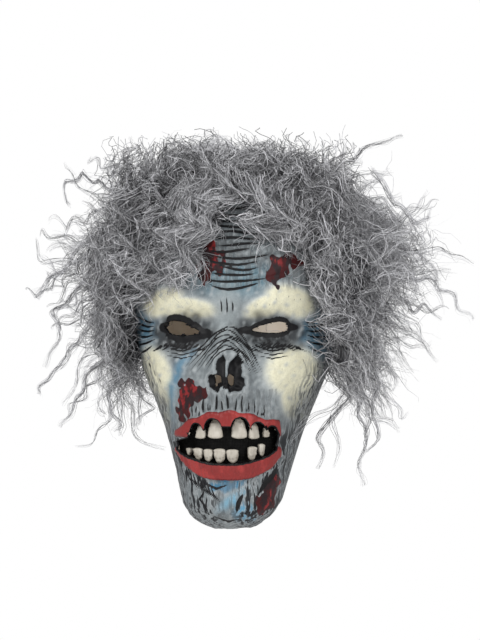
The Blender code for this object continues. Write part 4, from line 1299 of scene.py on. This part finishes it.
def make_hair():
    finish = crimped_hair("crimped_hair", (40, 40, 42), (236, 236, 239))
    deep = underlay_material()
    few = 1.0
    for sign, side in ((-1, "left"), (1, "right")):
        rng = np.random.default_rng(CURL_SEED + sign)
        body = f"section_{side}"

        def body_of(u, v, w, sign=sign):
            return side_place(sign, u, v, w)

        def temple(u, v, w, sign=sign):
            return temple_place(sign, u, v, w)

        def over_brow(u, v, w, sign=sign):
            return fringe_place(sign, u, v, w)

        outward = np.array([sign, 1, 1]) * SWEEPS[sign][0]
        frizzes = [frizz(rng, int(1900 * few), body_of, (40, 95), 0.4, outward, SWEEPS[sign][1]),
                   frizz(rng, int(950 * few), temple, (25, 60), 0.45, 0.5 * outward)]
        add_section(f"hair_{side}", rng, body, side_lines(rng, int(1000 * few), sign), frizzes, finish,
                    [f"hair_{side}"])
        underlay(f"hair_{side}_underlay", lambda u, v, w: body_of(0.03 + 0.94 * u, 0.02 + 0.78 * v, 0.3 * w),
                 (16, 24, 2), deep, body)
        frizzes = [frizz(rng, int(900 * few), over_brow, (20, 50), 0.7)]
        add_section(f"hair_fringe_{side}", rng, f"section_fringe_{side}",
                    fringe_lines(rng, int(330 * few), sign), frizzes, finish, [f"hair_fringe_{side}"])
    rng = np.random.default_rng(CURL_SEED + 2)
    add_section("hair_back", rng, "section_back", back_lines(rng, int(750 * few)),
                [frizz(rng, int(1700 * few), back_place, (40, 95), 0.4)], finish, ["hair_back"])
    underlay("hair_back_underlay", lambda u, v, w: back_place(u, 0.02 + 0.86 * v, 0.3 * w), (14, 22, 2), deep,
             "section_back")
    add_section("hair_crown", rng, "root", crown_lines(rng, int(600 * few)),
                [frizz(rng, int(1300 * few), crown_place, (25, 60), (0.6, 0.6, 0.2))], finish, ["hair_crown"])
    underlay("hair_crown_underlay",
             lambda u, v, w: crown_place(0.04 + 0.92 * u, 0.06 + 0.88 * v, 0.1 + 0.35 * w),
             (16, 16, 2), deep, "root")
    make_locks(finish)
    make_flyaways(finish)


def dress_wefts():
    tape = weft_tape()
    for name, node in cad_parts.items():
        if name.startswith("weft"):
            node.data.materials.clear()
            node.data.materials.append(tape)


# ---- stage ------------------------------------------------------------------------------------------

CAMERA_TARGET = Vector((0.0023, 0, -0.124))
CAMERA_DISTANCE = 1.66
CAMERA_AZIMUTH = math.radians(5.5)
CAMERA_LENS = 112
FLOOR_HEIGHT = -0.62
AMBIENT = 0.5

# Area lights: name, place, target, width, watts. The glow stands for daylight that soaks through the thin
# latex and lights the inside of its back wall.
LIGHTS = (
    ("key", (-0.7, -1.3, 0.7), CAMERA_TARGET, 0.9, 14),
    ("fill", (0.9, -1.2, 0.2), CAMERA_TARGET, 1.0, 7),
    ("glow", (0.02, 0.062, -0.125), (0.016, 0.1, -0.13), 0.02, 0.004),
)


def make_camera():
    data = bpy.data.cameras.new("camera")
    data.lens = CAMERA_LENS
    camera = bpy.data.objects.new("camera", data)
    bpy.context.scene.collection.objects.link(camera)
    back = Vector((math.sin(CAMERA_AZIMUTH), -math.cos(CAMERA_AZIMUTH), 0))
    camera.location = CAMERA_TARGET + back * CAMERA_DISTANCE
    camera.rotation_euler = (-back).to_track_quat("-Z", "Y").to_euler()
    bpy.context.scene.camera = camera


def make_light(name, location, target, size, power):
    data = bpy.data.lights.new(name, "AREA")
    data.shape = "DISK"
    data.size = size
    data.energy = power
    light = bpy.data.objects.new(name, data)
    bpy.context.scene.collection.objects.link(light)
    light.location = location
    light.rotation_euler = (Vector(target) - Vector(location)).to_track_quat("-Z", "Y").to_euler()


def make_world():
    """A white backdrop for the camera, and an even, dimmer light on the object."""
    world = bpy.data.worlds.new("studio")
    world.use_nodes = True
    tree = world.node_tree
    seen = add_node(tree, "ShaderNodeLightPath").outputs["Is Camera Ray"]
    background = tree.nodes["Background"]
    background.inputs["Color"].default_value = (1, 1, 1, 1)
    tree.links.new(between(tree, seen, AMBIENT, 1.0), background.inputs["Strength"])
    bpy.context.scene.world = world
    bpy.context.scene.view_settings.view_transform = "Standard"


def make_floor():
    bpy.ops.mesh.primitive_circle_add(vertices=96, radius=1.0, fill_type="NGON",
                                      location=(0, 0, FLOOR_HEIGHT))
    floor = bpy.context.object
    floor.name = "floor"
    floor.data.materials.append(plain_material("pale_floor", (0.9, 0.9, 0.9), 0.8, 0.2))


def main():
    make_camera()
    make_skin()
    make_rims()
    make_teeth()
    make_gauze()
    make_hair()
    dress_wefts()
    make_world()
    for light in LIGHTS:
        make_light(*light)
    make_floor()


main()
